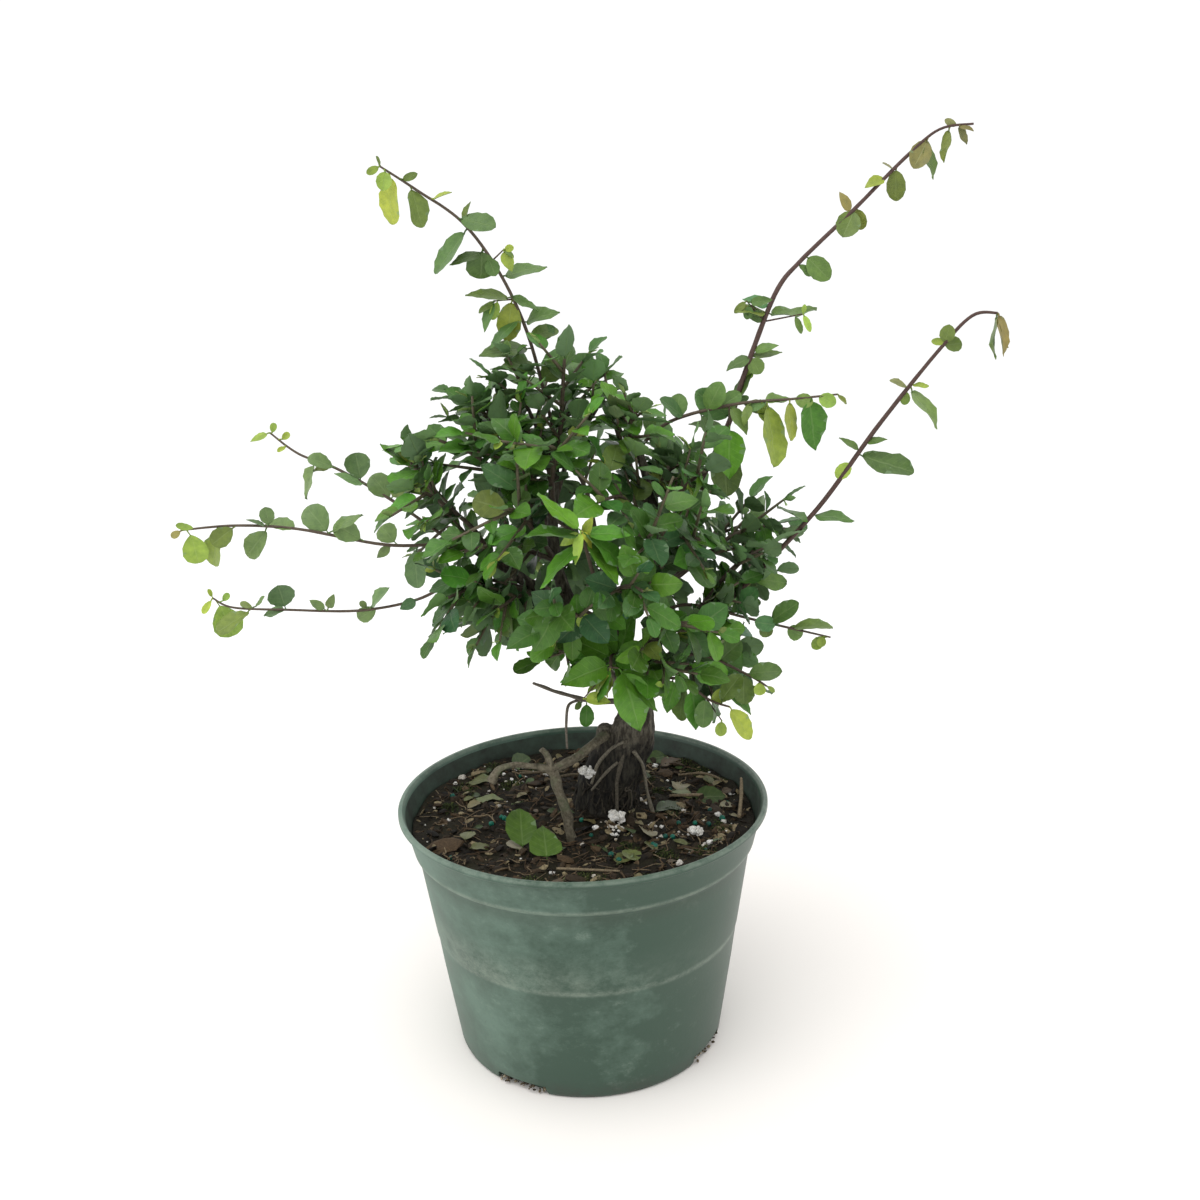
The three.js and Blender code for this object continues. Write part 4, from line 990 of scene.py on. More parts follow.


# Each leaf row is the place along the stem from 0 to 1, length, direction in the front view in
# degrees clockwise from up, width seen, and for some the colour: y young, m olive, b bronze, g front,
# the brighter green of painted light.
shoots = {
    "shoot_top_left": (
        [(-6, 5, 273, 1.3), (-9, 3, 290, 1.2), (-16, 0, 320, 1.1), (-26, -4, 344, 1), (-39, -9, 363, 0.9),
         (-55, -13, 375, 0.8), (-68, -18, 384, 0.6)],
        [(0.2, 12, 50, 9), (0.24, 16, 270, 5), (0.3, 22, 270, 5), (0.34, 13, 80, 6), (0.38, 16, 70, 5),
         (0.46, 17, 190, 10, "y"), (0.46, 19, 280, 4), (0.53, 19, 77, 5), (0.6, 8, 160, 6),
         (0.63, 12, 187, 12), (0.62, 15, 251, 4), (0.7, 22, 218, 7), (0.74, 16, 104, 7),
         (0.9, 16, 170, 7, "m"), (0.93, 7, 72, 3, "m"), (0.96, 19, 188, 7, "y"), (0.98, 8, 193, 6, "y"),
         (1, 6, 245, 3, "y"), (0.4, 18, 229, 4), (0.32, 12, 60, 6), (0.22, 16, 300, 6), (1, 4, 345, 1, "m"),
         (0.83, 9, 70, 1, "y"), (0.72, 9, 20, 2, "m"), (0.47, 13, 120, 4)]),
    "shoot_right_tall": (
        [(34, 1, 214, 1.8), (42, 1, 231, 1.6), (50, 2, 247, 1.5), (66, 5, 277, 1.4), (74, 9, 299, 1.3),
         (87, 14, 330, 1.2), (98, 18, 343, 1.1), (120, 23, 362, 1), (143, 28, 383, 0.9), (158, 32, 394, 0.7),
         (173, 35, 396, 0.6)],
        [(0.27, 24, 175, 13), (0.29, 16, 280, 4), (0.31, 20, 310, 12), (0.34, 14, 32, 5), (0.42, 12, 248, 5),
         (0.42, 14, 83, 4), (0.42, 8, 150, 7, "m"), (0.51, 12, 292, 5), (0.5, 15, 277, 4, "m"),
         (0.495, 22, 89, 4), (0.49, 9, 285, 5), (0.6, 8, 130, 3), (0.62, 14, 137, 9),
         (0.725, 10, 335, 4, "b"), (0.735, 13, 206, 10, "m"), (0.74, 10, 163, 6, "m"),
         (0.81, 10, 250, 5, "y"), (0.835, 14, 174, 8, "m"), (0.91, 14, 210, 9, "b"), (0.9, 16, 160, 5, "m"),
         (0.955, 15, 190, 4, "m"), (0.97, 9, 143, 3, "b"), (0.97, 7, 105, 2, "b"), (0.97, 6, 300, 3, "b"),
         (0.43, 11, 74, 4), (0.4, 5, 160, 4, "y"), (0.83, 6, 300, 1, "b"), (0.34, 6, 75, 3)]),
    "shoot_right_low": (
        [(49, 0, 188, 1.6), (60, -2, 199, 1.4), (72, -4, 210, 1.3), (102, -9, 244, 1.2), (124, -14, 277, 1.1),
         (146, -21, 308, 0.9), (158, -25, 322, 0.8), (167, -28, 323, 0.6)],
        [(0.4, 18, 95, 4), (0.55, 9, 220, 6, "y"), (0.57, 24, 110, 9), (0.58, 10, 305, 3), (0.6, 9, 75, 3),
         (0.75, 8, 300, 2, "b"), (0.75, 20, 141, 5, "m"), (0.875, 6, 275, 3, "y"), (0.87, 8, 5, 6, "m"),
         (1, 15, 160, 3, "b"), (1, 17, 176, 5, "b"), (0.865, 8, 85, 6, "m"), (1, 18, 190, 2, "m"),
         (0.745, 6, 185, 4, "y"), (0.76, 7, 95, 2, "y"), (0.2, 16, 104, 8)]),
    "shoot_left_upper": (
        [(-41, -2, 229, 1.2), (-53, 5, 233, 1.1), (-77, 10, 250, 1), (-100, 13, 264, 0.9),
         (-116, 17, 270, 0.8), (-128, 20, 279, 0.6)],
        [(0.43, 10, 40, 7), (0.42, 14, 322, 10), (0.54, 15, 295, 4), (0.565, 13, 350, 11), (0.68, 13, 300, 6),
         (0.7, 10, 262, 3, "m"), (0.775, 17, 200, 5), (0.945, 5, 50, 3, "y"), (1, 9, 250, 3, "y"),
         (0.99, 5, 15, 3, "y"), (0.91, 5, 245, 2, "y")]),
    "shoot_left_middle": (
        [(-28, 0, 220, 1.3), (-38, -8, 231, 1.2), (-51, -12, 235, 1.1), (-77, -17, 237, 1),
         (-111, -22, 246, 0.9), (-135, -25, 249, 0.8), (-155, -30, 249, 0.6)],
        [(0.33, 18, 180, 9), (0.385, 10, 322, 9), (0.48, 14, 307, 9), (0.58, 15, 321, 11), (0.585, 18, 56, 4),
         (0.67, 15, 281, 5), (0.755, 9, 358, 6), (0.755, 17, 222, 9), (0.85, 12, 235, 8, "m"),
         (0.895, 18, 199, 7, "m"), (0.96, 8, 285, 3, "y"), (0.98, 15, 175, 10, "y"), (0.76, 9, 297, 2),
         (0.4, 9, 229, 4), (1, 5, 240, 3, "b")]),
    "shoot_left_low": (
        [(-14, 3, 208, 1.3), (-32, 3, 214, 1.2), (-49, 2, 216, 1.1), (-69, 4, 207, 1), (-95, 8, 202, 0.9),
         (-127, 10, 203, 0.8), (-150, 13, 204, 0.7), (-159, 15, 208, 0.6)],
        [(0.38, 9, 245, 5), (0.5, 12, 240, 7), (0.53, 15, 44, 5), (0.655, 9, 300, 4), (0.655, 9, 28, 4),
         (0.77, 12, 257, 5), (0.775, 13, 352, 12), (0.87, 7, 292, 3), (0.87, 19, 239, 6, "m"),
         (0.985, 18, 167, 13, "y"), (1, 5, 345, 2, "y"), (0.87, 7, 45, 2), (0.535, 5, 326, 3),
         (0.97, 5, 40, 3, "y"), (1, 8, 215, 3, "y")]),
    "shoot_right_upper": (
        [(28, 4, 269, 1.2), (42, 1, 281, 1.1), (68, -5, 288, 1), (90, -10, 290, 0.8), (108, -15, 292, 0.6)],
        [(0.28, 14, 310, 6), (0.36, 14, 160, 5), (0.39, 14, 25, 9), (0.66, 12, 85, 5, "m"),
         (0.67, 27, 172, 9, "y"), (0.68, 10, 245, 4), (0.78, 17, 182, 6, "y"), (0.87, 23, 172, 10, "g"),
         (0.91, 8, 112, 6, "y"), (1, 6, 135, 2, "m"), (0.5, 14, 150, 5, "m"), (0.56, 14, 110, 6, "m"),
         (0.6, 10, 200, 4, "m"), (0.44, 12, 60, 7), (0.1, 13, 345, 6), (0.24, 11, 10, 8),
         (0.8, 8, 100, 6, "m"), (0.65, 9, 170, 4, "y")]),
    "shoot_right_middle": (
        [(36, 1, 198, 1.2), (49, -5, 203, 1.1), (76, -11, 197, 0.9), (107, -17, 190, 0.6)],
        [(0.47, 16, 30, 8), (0.62, 8, 165, 6), (0.65, 16, 49, 8), (0.75, 9, 125, 7), (0.77, 18, 84, 6),
         (0.97, 8, 222, 5, "y"), (0.7, 11, 285, 7), (0.42, 15, 72, 6), (0.95, 5, 185, 4, "y")]),
    "shoot_right_front": (
        [(38, 1, 174, 1.2), (51, -15, 184, 1), (70, -25, 178, 0.8), (78, -30, 174, 0.6)],
        [(0.58, 15, 42, 9), (0.8, 15, 178, 9), (0.82, 15, 80, 8), (0.93, 7, 172, 5, "y"), (0.5, 12, 8, 7),
         (1, 5, 130, 2, "y")]),
    "shoot_right_bottom": (
        [(31, 1, 168, 1.1), (43, -18, 174, 0.9), (54, -27, 168, 0.8), (62, -34, 167, 0.6)],
        [(0.75, 13, 187, 8), (0.8, 9, 75, 6, "y"), (1, 16, 148, 8, "y"), (0.9, 15, 40, 8),
         (0.42, 15, 200, 8, "g"), (0.52, 19, 186, 9), (0.6, 18, 176, 9, "g"), (0.38, 12, 203, 4, "y")]),
    "cluster_front": (
        [(10, -34, 216, 1.3), (6, -46, 234, 1.2), (3, -60, 250, 1)],
        [(0.9, 10, 25, 4, "y"), (0.96, 10, 240, 4, "y"), (1, 13, 190, 4, "y"), (0.94, 19, 95, 5, "g"),
         (0.88, 22, 145, 5, "g"), (0.98, 22, 308, 6, "g"), (0.92, 23, 275, 5, "g"), (0.98, 25, 132, 7, "g"),
         (0.86, 25, 226, 7, "g"), (1, 9, 150, 3, "y")]),
    "cluster_bottom": (
        [(22, -12, 176, 1.3), (19, -24, 185, 1.2), (14, -36, 192, 1.1), (13, -46, 190, 1)],
        [(0.5, 22, 140, 10, "g"), (0.6, 20, 320, 10, "g"), (0.7, 20, 80, 11, "g"), (0.8, 20, 295, 10, "g"),
         (0.92, 22, 255, 12, "g"), (1, 14, 190, 5, "y"), (0.98, 16, 205, 5, "g"), (0.9, 27, 142, 9, "g"),
         (0.75, 16, 110, 8, "g"), (0.85, 24, 243, 8, "g"), (0.95, 15, 210, 4, "y"), (0.55, 22, 20, 10, "g")]),
}
# side twigs of the shoots: place along the stem, length, direction, and their own leaf rows
side_twigs = {
    "shoot_top_left": [(0.585, 7, 49, [(0.95, 9, 160, 5, "y"), (1, 4, 80, 3, "y"), (1, 5, 130, 2, "m")]),
                       (0.46, 7, 267, [(1, 8, 234, 3, "m"), (0.8, 8, 200, 4, "y"), (1, 13, 203, 4)])],
    "shoot_right_tall": [(0.485, 16, 80, [(0.78, 8, 158, 3, "m"), (1, 8, 156, 3, "y"), (1, 4, 10, 2, "y")]),
                         (0.485, 12, 318, [(0.9, 10, 85, 4), (1, 7, 227, 3, "m"), (0.8, 6, 195, 4)])],
    "shoot_right_upper": [(0.5, 8, 180, [(1, 22, 181, 13, "g")])],
    "shoot_right_bottom": [(0.75, 12, 146, [(1, 7, 185, 5, "y")])],
    "cluster_front": [(0.2, 14, 183, [(1, 8, 262, 6, "y"), (1, 10, 160, 5, "y")])],
    "cluster_bottom": [(0.98, 3.5, 95, [(1, 28, 163, 15, "g"), (0.8, 24, 140, 8, "g")]),
                       (0.97, 17, 224, [(1, 11, 95, 5, "y"), (0.25, 9, 178, 4, "y"),
                                        (0.25, 10, 222, 3, "y")])],
}
tint_names = {"y": "young", "m": "olive", "b": "bronze", "g": "front"}


def leaf_tint(name, draw):
    """A leaf's colour, a little lighter or darker and bluer or yellower than its kind."""
    light = 1 + draw.gauss(0, 0.16)
    warm = 1 + draw.gauss(0, 0.1)
    red, green, blue = leaf_colors[name]
    return (max(red * light * warm, 0.01), max(green * light, 0.02), max(blue * light / warm, 0.008))


viewer_place = 1000 * np.array(camera_place)
blunt_outline = (0.72, 0.5, 0.2)
pointed_outline = (0.6, 0.56, 0.12)
sharp_outline = (0.55, 0.95)


def clock_heading(clock, backward):
    """The direction that a clock angle gives in the front view, leaning so far backward."""
    turn = math.radians(clock)
    return unit(np.array([math.sin(turn), backward, math.cos(turn)]))


def shoot_leaf(spray, stem, row, grown, outline, backward, draw):
    """Puts the leaf of one row on a shoot's stem or side twig, turned to be seen as wide as it says."""
    at, length, clock, seen, *tint = row
    along = clock_heading(clock, backward)
    base, k, part, heading = part_way(stem, at)
    viewer = unit(viewer_place - base)
    width = max(seen, (0.56 if seen > 4 else 0.42) * length)
    facing = min(1, seen / width)
    edge = unit(np.cross(along, viewer))
    if edge[2] < 0:
        edge = -edge
    face = viewer * facing + edge * math.sqrt(1 - facing * facing)
    color = leaf_tint(tint_names[tint[0]] if tint else grown, draw)
    belly, point, stalk = outline
    if "g" in tint or (seen < 6 and length > 8):
        belly, point = sharp_outline
    root = curve_spot(stem[:, :3], k, part)
    spray.leaf(base, base + along * length, width, face, color, draw, root, belly, point, stalk)


red_stemmed = ("shoot_right_tall", "shoot_right_low")
for shoot_name, (stem_rows, leaf_places) in shoots.items():
    draw = random.Random(shoot_name)
    spray = Spray()
    stem = np.array(stem_rows, float)
    is_red = shoot_name in red_stemmed
    stem_color = (0.075, 0.042, 0.034) if is_red else (0.085, 0.062, 0.042)
    spray.wood(thinned(stem, 0.85 if is_red else 0.68), sides=8, steps=8, color=stem_color)
    is_left = shoot_name.startswith("shoot_left")
    grown = "dusty" if is_left else "shoot"
    outline = blunt_outline if is_left else pointed_outline
    for k, row in enumerate(leaf_places):
        shoot_leaf(spray, stem, row, grown, outline, -0.3 if k % 2 == 0 else 0.2, draw)
    for at, length, clock, rows in side_twigs.get(shoot_name, []):
        root = part_way(stem, at)[0]
        tip = root + length * clock_heading(clock, -0.2)
        twig = np.array([[*root, 0.4], [*tip, 0.28]])
        spray.wood(twig, sides=5, steps=3, color=stem_color)
        for row in rows:
            shoot_leaf(spray, twig, row, grown, outline, -0.1, draw)
    spray.piece(shoot_name + "_leafy", "leafy_stem", [shoot_name])


# Crown: many short arching sprays grow from the limbs, each with side twigs and alternate leaves
# that face up and outward. Leaves at the tips of the sprays are young and yellow-green.
crown_centre = np.array([4.0, 0.0, 226.0])
crown_reach = (62, 58, 62)
arch_share = 0.09
twigs_per_spray = 5
first_twig = 0.32
twig_spacing = 0.14
shortest_leaf = 10
leaf_spread = 7
# where each spray starts on its limb, and its tip
crown = {
    "crown_top_1": [(-8, 5, 250), (-19, 8, 301)], "crown_top_2": [(-7, 5, 258), (-1, -8, 309)],
    "crown_top_3": [(33, 1, 222), (17, -4, 288)], "crown_left_1": [(-8, 5, 240), (-40, 6, 289)],
    "crown_left_2": [(-8, 5, 230), (-52, -22, 280)], "crown_left_3": [(-34, -1, 224), (-62, -28, 262)],
    "crown_left_4": [(-21, 2, 214), (-62, 20, 236)], "crown_left_5": [(-12, 3.2, 206), (-52, -26, 216)],
    "crown_left_6": [(2, 4, 193), (-42, -8, 200)], "crown_low": [(12, 3, 176), (-8, -22, 190)],
    "crown_front_1": [(-8, 5, 222), (-26, -54, 258)], "crown_front_2": [(36, 1, 204), (30, -52, 246)],
    "crown_front_3": [(17, -22, 193), (-12, -54, 216)], "crown_front_4": [(20, -16, 183), (44, -46, 208)],
    "crown_front_5": [(-8, 5, 246), (-8, -44, 280)], "crown_right_1": [(33, 2, 232), (54, -22, 264)],
    "crown_right_2": [(35, 1, 207), (87, 8, 234)], "crown_right_3": [(42, 0.8, 179), (80, 20, 215)],
    "crown_right_4": [(34, 1, 169), (70, 6, 180)], "crown_back_1": [(10, 40, 226), (-4, 62, 266)],
    "crown_back_2": [(13, 35, 215), (-36, 60, 238)], "crown_back_3": [(15, 32, 207), (50, 60, 238)],
    "crown_back_4": [(19, 24, 195), (12, 66, 204)], "crown_back_5": [(34, 3, 240), (44, 32, 262)],
    "crown_back_6": [(-8, 5, 234), (-38, 40, 274)], "crown_back_7": [(21, 18, 185), (-40, 42, 204)],
}
# the short sprays that fill the inside of the crown
inner_sprays = {
    "inner_top": [(-8, 5, 246), (12, 10, 286)], "inner_top_left": [(-8, 5, 238), (-28, -20, 282)],
    "inner_middle": [(34, 3, 238), (10, -38, 256)], "inner_right": [(33, 1, 222), (50, -40, 240)],
    "inner_right_back": [(35, 1, 205), (76, 26, 230)], "inner_left": [(-8, 5, 222), (-44, -30, 236)],
    "inner_low_left": [(-4, 4.5, 206), (-32, -32, 212)], "inner_low_right": [(38, 1, 174), (62, -16, 168)],
    "inner_low_front": [(20, -16, 183), (40, -44, 186)], "inner_front": [(10, -34, 216), (26, -62, 226)],
    "inner_back_low": [(19, 24, 195), (44, 50, 198)], "inner_back_left": [(13, 35, 215), (-20, 66, 216)],
    "inner_upper_right": [(34, 3, 246), (46, 4, 264)], "inner_back_top": [(-8, 5, 256), (-4, 36, 288)],
    "inner_right_low": [(43, 0.5, 181), (58, -18, 210)], "inner_right_mid": [(43, 0.5, 181), (82, -6, 228)],
    "inner_left_tip": [(-50, -16, 248), (-65, -14, 270)],
    "inner_top_far_left": [(-30, 6, 274), (-35, -2, 292)],
    "inner_top_right": [(23, -2, 264), (27, -18, 288)],
}


def seeded_draw(seed):
    """The same draws between 0 and 1 as the solids' leaves come from."""
    state = (seed * 7919) % 2147483647

    def next_draw():
        nonlocal state
        state = (state * 16807) % 2147483647
        return state / 2147483647
    return next_draw


def crown_wood(start, tip, draw):
    """An arching stem and its side twigs, as rows of x, y, z and radius."""
    start = np.array(start, float)
    reach = np.array(tip, float) - start
    arch = arch_share * np.linalg.norm(reach)
    spots = [start]
    for part, lift in ((0.36, 0.8), (0.7, 1)):
        aside = np.array([draw() - 0.5, draw() - 0.5, 0]) * arch
        spots.append(start + reach * part + aside + (0, 0, lift * arch))
    spots.append(np.array(tip, float))
    stem = np.array([[*spot, 1.25 - 0.2 * k] for k, spot in enumerate(spots)])
    twigs = []
    for k in range(twigs_per_spray):
        root, row, part, along = part_way(stem, first_twig + twig_spacing * k)
        outward = unit(root - crown_centre)
        sideways = unit(np.cross(along, outward))
        heading = 0.55 * along + (0.85 if k % 2 == 0 else -0.85) * sideways
        heading = heading + outward * (0.15 + 0.4 * draw())
        heading[2] += 0.5 * (draw() - 0.4)
        heading = unit(heading)
        end = root + heading * (0.3 + 0.14 * draw()) * np.linalg.norm(reach)
        twigs.append(np.array([[*root, 0.85], [*end, 0.5]]))
    return stem, twigs


def leaves_along(rows, first, spacing, draw):
    """Where the leaves of one stem or twig are: base, tip, width, face, and where the stalk starts."""
    span = sum(np.linalg.norm(rows[k + 1][:3] - rows[k][:3]) for k in range(len(rows) - 1))
    count = max(2, math.floor(span * (1 - first) / spacing + 0.5))
    leaves = []
    for k in range(count + 1):
        base, row, part, along = part_way(rows, first + (1 - first) * k / count)
        face = unit(base - crown_centre) + (0, 0, 0.45)
        face = face + np.array([draw() - 0.5, draw() - 0.5, draw() - 0.5]) * 0.9
        sideways = unit(np.cross(along, face))
        last = k == count
        swing = 0.15 * (draw() - 0.5) if last else (1 if k % 2 == 0 else -1) * (0.75 + 0.35 * draw())
        heading = along * (1 if last else 0.6) + sideways * swing
        heading[2] -= 0.25 * draw()
        heading = unit(heading)
        length = shortest_leaf + leaf_spread * draw()
        width = length * (0.6 + 0.16 * draw())
        root = curve_spot(rows[:, :3], row, part)
        leaves.append((base, base + heading * length, width, face, root))
    return leaves


def crown_leaf_kind(base, looks):
    """Which colour a crown leaf takes: painted shade inside the crown, and mixed greens on its outside, with
    painted light on the front, top and far left and a bluish painted reflection on some others.
    """
    depth = np.linalg.norm((base - crown_centre) / crown_reach)
    chance = looks.random()
    if chance > 0.965:
        return "olive"
    # painted shade: leaves deep inside the crown take the dark shade green
    if depth < 0.62:
        return "shade"
    # painted light: low at the front, on top and at the far left, more leaves take the brighter front green
    in_painted_light = base[2] < 205 and base[1] < -15 or base[2] > 264 or base[0] < -54
    if chance > (0.45 if in_painted_light else 0.72):
        return "front"
    # the bluish green is a painted reflection of the white light
    return "plain" if in_painted_light or chance < 0.55 else "bluish_sheen"


def crown_leaf_outline(base, looks):
    """Where a leaf is broadest: most have blunt ends at the right and low down, and points elsewhere."""
    blunt_share = 0.75 if base[0] > 36 or base[2] < 190 else 0.25
    if looks.random() < blunt_share:
        return looks.uniform(0.55, 0.72), looks.uniform(0.46, 0.58)
    return looks.uniform(0.5, 0.66), looks.uniform(0.74, 1.0)


def young_tips(spray, rows, looks):
    """One to three small new leaves at the end of a stem or twig."""
    end = rows[-1][:3]
    heading = unit(end - rows[-2][:3])
    for k in range(looks.choice((1, 2, 2, 3))):
        aside = np.array([looks.uniform(-1, 1) for axis in range(3)])
        along = unit(heading + 0.8 * aside)
        length = looks.uniform(4, 8)
        face = unit(end - crown_centre) + (0, 0, 0.5) + 0.5 * aside
        color = leaf_tint("young" if looks.random() < 0.7 else "olive", looks)
        spray.leaf(end, end + along * length, length * looks.uniform(0.4, 0.6), face, color, looks,
                   root=end, belly=0.55, point=0.85)


# these sprays have new leaves at all of their ends
young_ended = ("crown_top_2", "crown_left_3", "inner_left_tip", "crown_left_1")
first_crown_seed = 11
first_looks_seed = 300
for k, (spray_name, (start, tip)) in enumerate((crown | inner_sprays).items()):
    draw = seeded_draw(k + first_crown_seed)
    looks = random.Random(k + first_looks_seed)
    stem, twigs = crown_wood(start, tip, draw)
    spray = Spray()
    spray.wood(stem, sides=6, steps=6, color=(0.085, 0.065, 0.045))
    rows_of_leaves = [leaves_along(stem, first=0.25, spacing=5, draw=draw)]
    for twig in twigs:
        spray.wood(twig, sides=5, steps=3, color=(0.1, 0.085, 0.05))
        rows_of_leaves.append(leaves_along(twig, first=0.2, spacing=4.4, draw=draw))
    # the end leaves of the stem and of the second and third twigs are those that the solids hold
    for row, leaves in enumerate(rows_of_leaves):
        for place, (base, leaf_tip, width, face, root) in enumerate(leaves):
            in_solid = row in (0, 2, 3) and place >= len(leaves) - 3
            share = 1 if in_solid else looks.uniform(0.62, 1.08)
            if not in_solid and looks.random() < 0.08:
                continue
            if not in_solid:
                face = face + (0, 0, looks.uniform(0, 0.9))
            color = leaf_tint(crown_leaf_kind(base, looks), looks)
            belly, point = crown_leaf_outline(base, looks)
            spray.leaf(base, base + (leaf_tip - base) * share, width * share, face, color, looks, root,
                       belly, point)
    for rows in (stem, *twigs):
        if looks.random() < 0.4 or spray_name in young_ended:
            young_tips(spray, rows, looks)
    spray.piece(spray_name + "_leafy", "leafy_stem", [spray_name] if spray_name in crown else [])


# Twig leaves: one green leaf still hangs from the dry twig at the foot of the trunk, with a bud.
# Each row is where it starts, its tip, its width and its colour.
# the larger leaf takes the brighter front green, a painted light
twig_leaf_rows = [((3, -10, 162), (2.5, -13, 152), 6.5, "front"),
                  ((1, -10, 162.5), (-2, -14, 161), 3, "olive")]
twig_leaves = Spray()
draw = random.Random(5)
for root, leaf_tip, width, kind in twig_leaf_rows:
    root = np.array(root, float)
    twig_leaves.leaf(root, np.array(leaf_tip, float), width, np.array([0.2, -1, 0.3]),
                     leaf_tint(kind, draw), draw, root=root, belly=0.6, point=0.5)
twig_leaves.piece("twig_leaves", "leafy_stem")


# Fallen leaves: two large green leaves that lean against the exposed root, and three small ones that
# dry on the soil. They fell from the crown and lie loose.
# Each row is its place, length, width, heading, tilt, belly and point.
fallen_leaves = [(-26.5, -34, 21, 13.5, 94, 30, 0.6, 0.75), (-16, -43.5, 19, 14, 96, 24, 0.3, 0.95),
                 (-51, 19, 14, 8, 0, 2, 0.5, 0.8), (42, 19, 13, 8, -55, 3, 0.5, 0.8),
                 (22, -48, 11, 8, 120, 4, 0.5, 0.8)]
still_green = 2
for k, (x, y, length, width, heading, tilt, belly, point) in enumerate(fallen_leaves):
    draw = random.Random(k + 70)
    node = f"fallen_leaf_{k + 1}"
    low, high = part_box(node)
    turn = math.radians(heading)
    rise = math.radians(tilt)
    along = np.array([math.cos(turn) * math.cos(rise), math.sin(turn) * math.cos(rise), math.sin(rise)])
    base = np.array([x, y, 1000 * low.z + 0.5])
    spray = Spray()
    color = (0.07, 0.135, 0.022) if k < still_green else (0.12, 0.145, 0.05)
    spray.leaf(base, base + along * length, width, np.array([0, 0, 1.0]), color, draw, belly=belly,
               point=point)
    spray.piece(node + "_dropped", "fallen_leaf", [node])


# Leaf litter: older leaves, curled, brown and broken, that lie on the chips among the moss and are
# turning into soil. Some are whole enough to be told apart.
litter_colors = [(0.05, 0.085, 0.025), (0.1, 0.11, 0.04), (0.16, 0.135, 0.065), (0.075, 0.05, 0.028),
                 (0.2, 0.18, 0.11), (0.035, 0.055, 0.02)]
scrap_count = 46
# the leaves that can be told apart: place, length, width, heading and colour
old_leaves = [(44, 51, 13, 9, 20, 3), (37, 58, 11, 8, 200, 0), (46, 24, 12, 9, 70, 4),
              (58, 10, 15, 11, 0, 0), (39, -1, 16, 10, 30, 5), (29, 34, 9, 6, 150, 5),
              (27, -26, 11, 9, 110, 4), (28, -36, 9, 6, 290, 1), (16, -45, 12, 8, 60, 1),
              (-49, 40, 14, 7, 10, 1), (-50, 46, 10, 6, 5, 4), (-51, -19, 9, 7, 80, 1),
              (-45, -29, 11, 6, 40, 1), (-30, -31, 10, 8, 120, 4), (-30, 60, 14, 11, 60, 0),
              (-50, 12, 7, 6, 200, 2), (60, 32, 9, 5, 100, 1), (64, 26, 8, 5, 50, 2)]
draw = random.Random(91)
litter = Spray()
for k in range(len(old_leaves) + scrap_count):
    if k < len(old_leaves):
        x, y, length, width, heading, shade = old_leaves[k]
    else:
        x, y = on_bed(draw, reach=70)
        length = draw.uniform(3.5, 8)
        heading = draw.uniform(0, 360)
        shade = draw.randrange(len(litter_colors))
        width = length * draw.uniform(0.35, 0.7)
    turn = math.radians(heading)
    along = unit(np.array([math.cos(turn), math.sin(turn), draw.gauss(0.04, 0.12)]))
    base = np.array([x, y, rough_height(x, y) + 1.1]) - along * length / 2
    face = np.array([draw.gauss(0, 0.3), draw.gauss(0, 0.3), 1.0])
    litter.leaf(base, base + along * length, width, face, litter_colors[shade], draw, belly=0.6,
                point=draw.uniform(0.6, 0.95))
litter.piece("leaf_litter", "fallen_leaf")


# Moss: soft olive tufts that have grown on the damp mix, most of them at the back and on the right.
# Each tuft is a patch of upright threads, tallest in its middle. The rows are place and radius.
moss_tufts = [(50, 51, 7), (56, 43, 6), (63, 32, 5), (30, 34, 5), (40, -3, 5), (36, 60, 6), (50, -38, 6),
              (36, 20, 4), (-20, 55, 7), (-42, 53, 7), (20, 68, 6), (34, -44, 6), (-56, 34, 6), (2, -62, 7),
              (24, -62, 6), (-22, -60, 5), (60, -18, 6), (-62, 12, 5), (-34, 36, 6), (18, -36, 5)]
threads_per_mm = 26
moss = Heap()
draw = random.Random(37)
for x, y, reach in moss_tufts:
    for thread in range(threads_per_mm * reach):
        turn = any_turn(draw)
        far = reach * math.sqrt(draw.random())
        at_x = x + far * math.cos(turn)
        at_y = y + far * math.sin(turn)
        if math.hypot(at_x, at_y) > inside_wall:
            continue
        z = rough_height(at_x, at_y)
        height = draw.uniform(0.8, 2.4) * (1.2 - far / reach)
        lean_x = draw.gauss(0, 0.7)
        lean_y = draw.gauss(0, 0.7)
        rows = [(at_x, at_y, z - 0.4, 0.28),
                (at_x + 0.5 * lean_x, at_y + 0.5 * lean_y, z + 0.6 * height, 0.24),
                (at_x + lean_x, at_y + lean_y, z + height, 0.08)]
        moss.add(*strand(rows, sides=3, steps=1), draw.random())
moss.piece("moss_tufts", toned_finish("moss", [(0.012, 0.02, 0.006), (0.04, 0.06, 0.015),
                                               (0.09, 0.11, 0.03)], roughness=0.9), "potting_mix")


# Loose sticks: thin dry bits of twig left in the mix, that lie on the chips. One of them leans on
# the pot's wall at the right.
stick_rows = [
    [(69, -12, 106, 0.9), (72, 4, 109, 0.8), (73.5, 16, 112, 0.7)],
    [(40, 12, 106.5, 0.7), (47, 10, 107.4, 0.8), (55, 11, 106.8, 0.6)],
    [(46, 36, 106, 0.6), (58, 33, 107.6, 0.6), (66, 26, 107, 0.5)],
    [(-30, 44, 106.5, 0.7), (-20, 41, 108, 0.7), (-8, 42, 107.2, 0.5)],
    [(10, 30, 108, 0.6), (-4, 32, 110, 0.7), (-18, 30, 108.5, 0.5)],
    [(-12, -52, 105.5, 0.6), (0, -56, 106.5, 0.6), (14, -57, 105.8, 0.5)],
]
sticks = Heap()
for rows in stick_rows:
    sticks.add(*strand(rows, sides=7, steps=6, lumps=0.35, seed=6), draw.random())
sticks.piece("loose_sticks", toned_finish("dry_stick", [(0.09, 0.075, 0.05), (0.27, 0.21, 0.13)],
                                          roughness=0.8), "potting_mix")


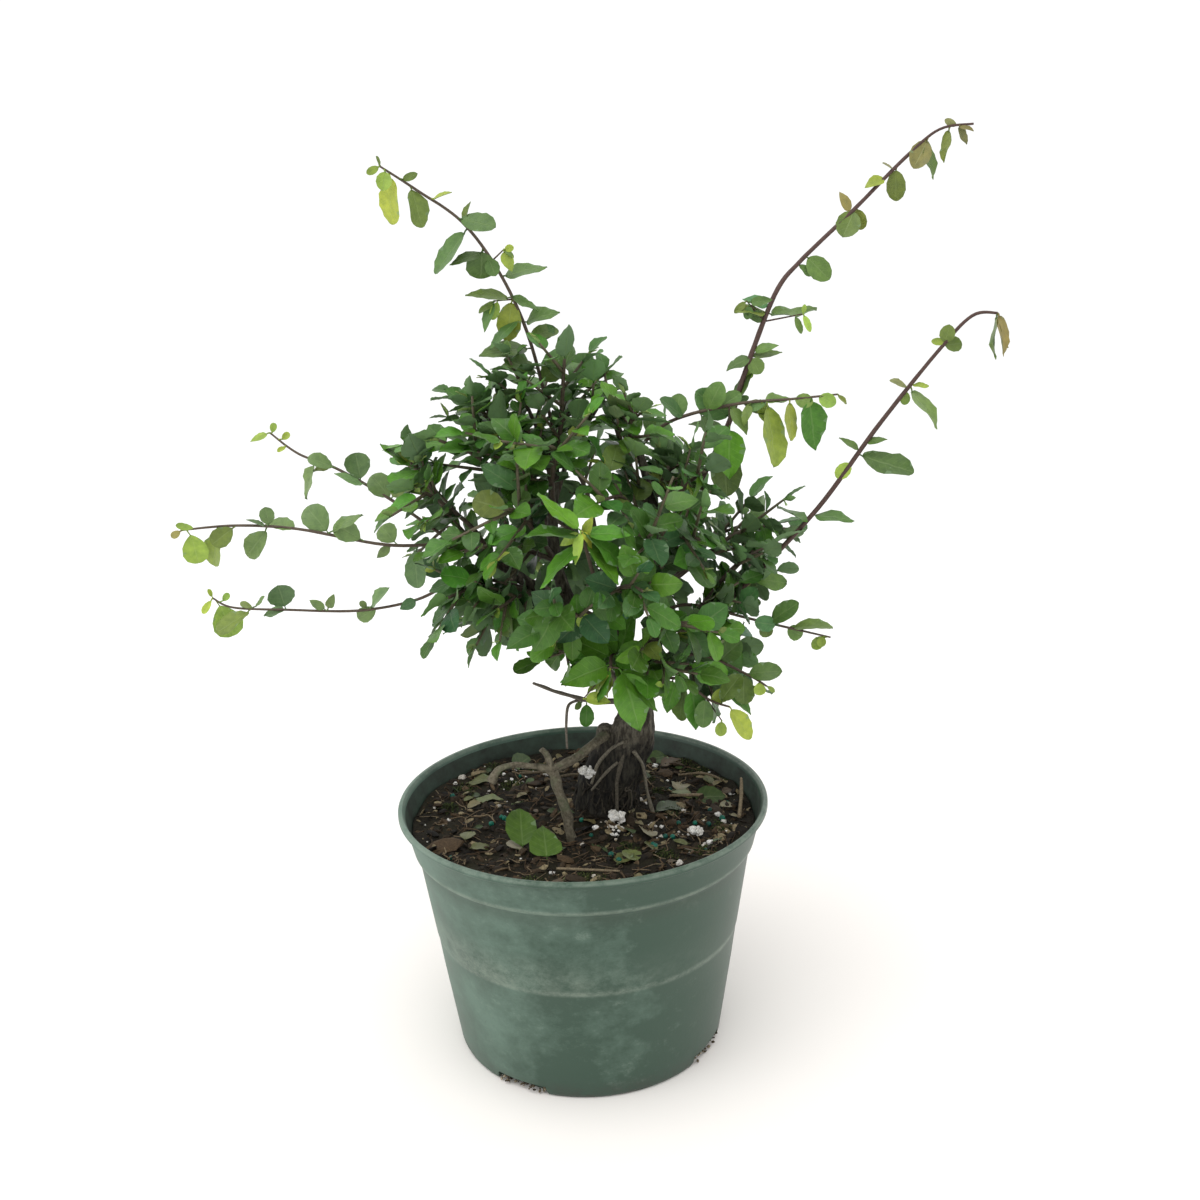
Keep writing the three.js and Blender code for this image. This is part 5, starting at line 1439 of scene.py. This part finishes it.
# Washed-out crumbs: bark, perlite dust and rootlet ends that the water has carried into the two front
# drain notches, where they have dried.
crumbs_per_notch = 46
crumbs = Heap()
draw = random.Random(55)
for turn in (notch_turns[0], notch_turns[3]):
    for k in range(crumbs_per_notch):
        at = math.radians(turn + draw.uniform(-11, 11))
        far = draw.uniform(foot_radius - 4, foot_radius + 0.6)
        size = draw.uniform(0.35, 1.2)
        crumb = turned(shard * size * (1, 0.7, 0.6), any_turn(draw), draw.gauss(0, 0.5), 0)
        crumbs.add(crumb + (far * math.cos(at), far * math.sin(at), draw.uniform(0.8, 3.4)), shard_faces,
                   draw.random())
crumbs.piece("washed_crumbs", toned_finish("dried_crumb", [
    (0.02, 0.015, 0.01), (0.1, 0.075, 0.045), (0.42, 0.36, 0.25)], roughness=0.85), "potting_mix",
             smooth=False)


# Perlite clumps: lumps of expanded mineral, each a heap of small white crumbs on three hearts that
# stick together. One lies against the root mass and two on the mix in front of it.
# Each row is the place of the clump, the radii of its hearts and how far out they lie.
perlite = [((1.5, -5.5), (2.9, 2.2, 1.9), 1.7), ((14, -16), (2.8, 2.3, 2.1), 2),
           ((48, -25), (2.3, 1.8, 1.6), 1.5)]
heart_share = 0.72
crumbs_per_heart = 26
for k, (middle, radii, apart) in enumerate(perlite):
    node = f"perlite_{k + 1}"
    low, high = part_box(node)
    draw = random.Random(k + 20)
    clump = Heap()
    for j, radius in enumerate(radii):
        turn = 2.1 * j
        heart = np.array([middle[0] + apart * math.cos(turn), middle[1] + apart * math.sin(turn),
                          500 * (low.z + high.z) + 0.5 * (j - 1)])
        clump.add(ball * radius * heart_share + heart, ball_faces, 0.6)
        for crumb in range(crumbs_per_heart):
            aside = unit(np.array([draw.gauss(0, 1) for axis in range(3)])) * radius * heart_share
            grain = roughened(draw, ball, 0.7, 1.2, axes=1) * (radius * draw.uniform(0.22, 0.4))
            clump.add(grain + heart + aside, ball_faces, draw.uniform(0.5, 1))
    clump.piece(node + "_clump", perlite_finish, "perlite", [node], smooth=False)
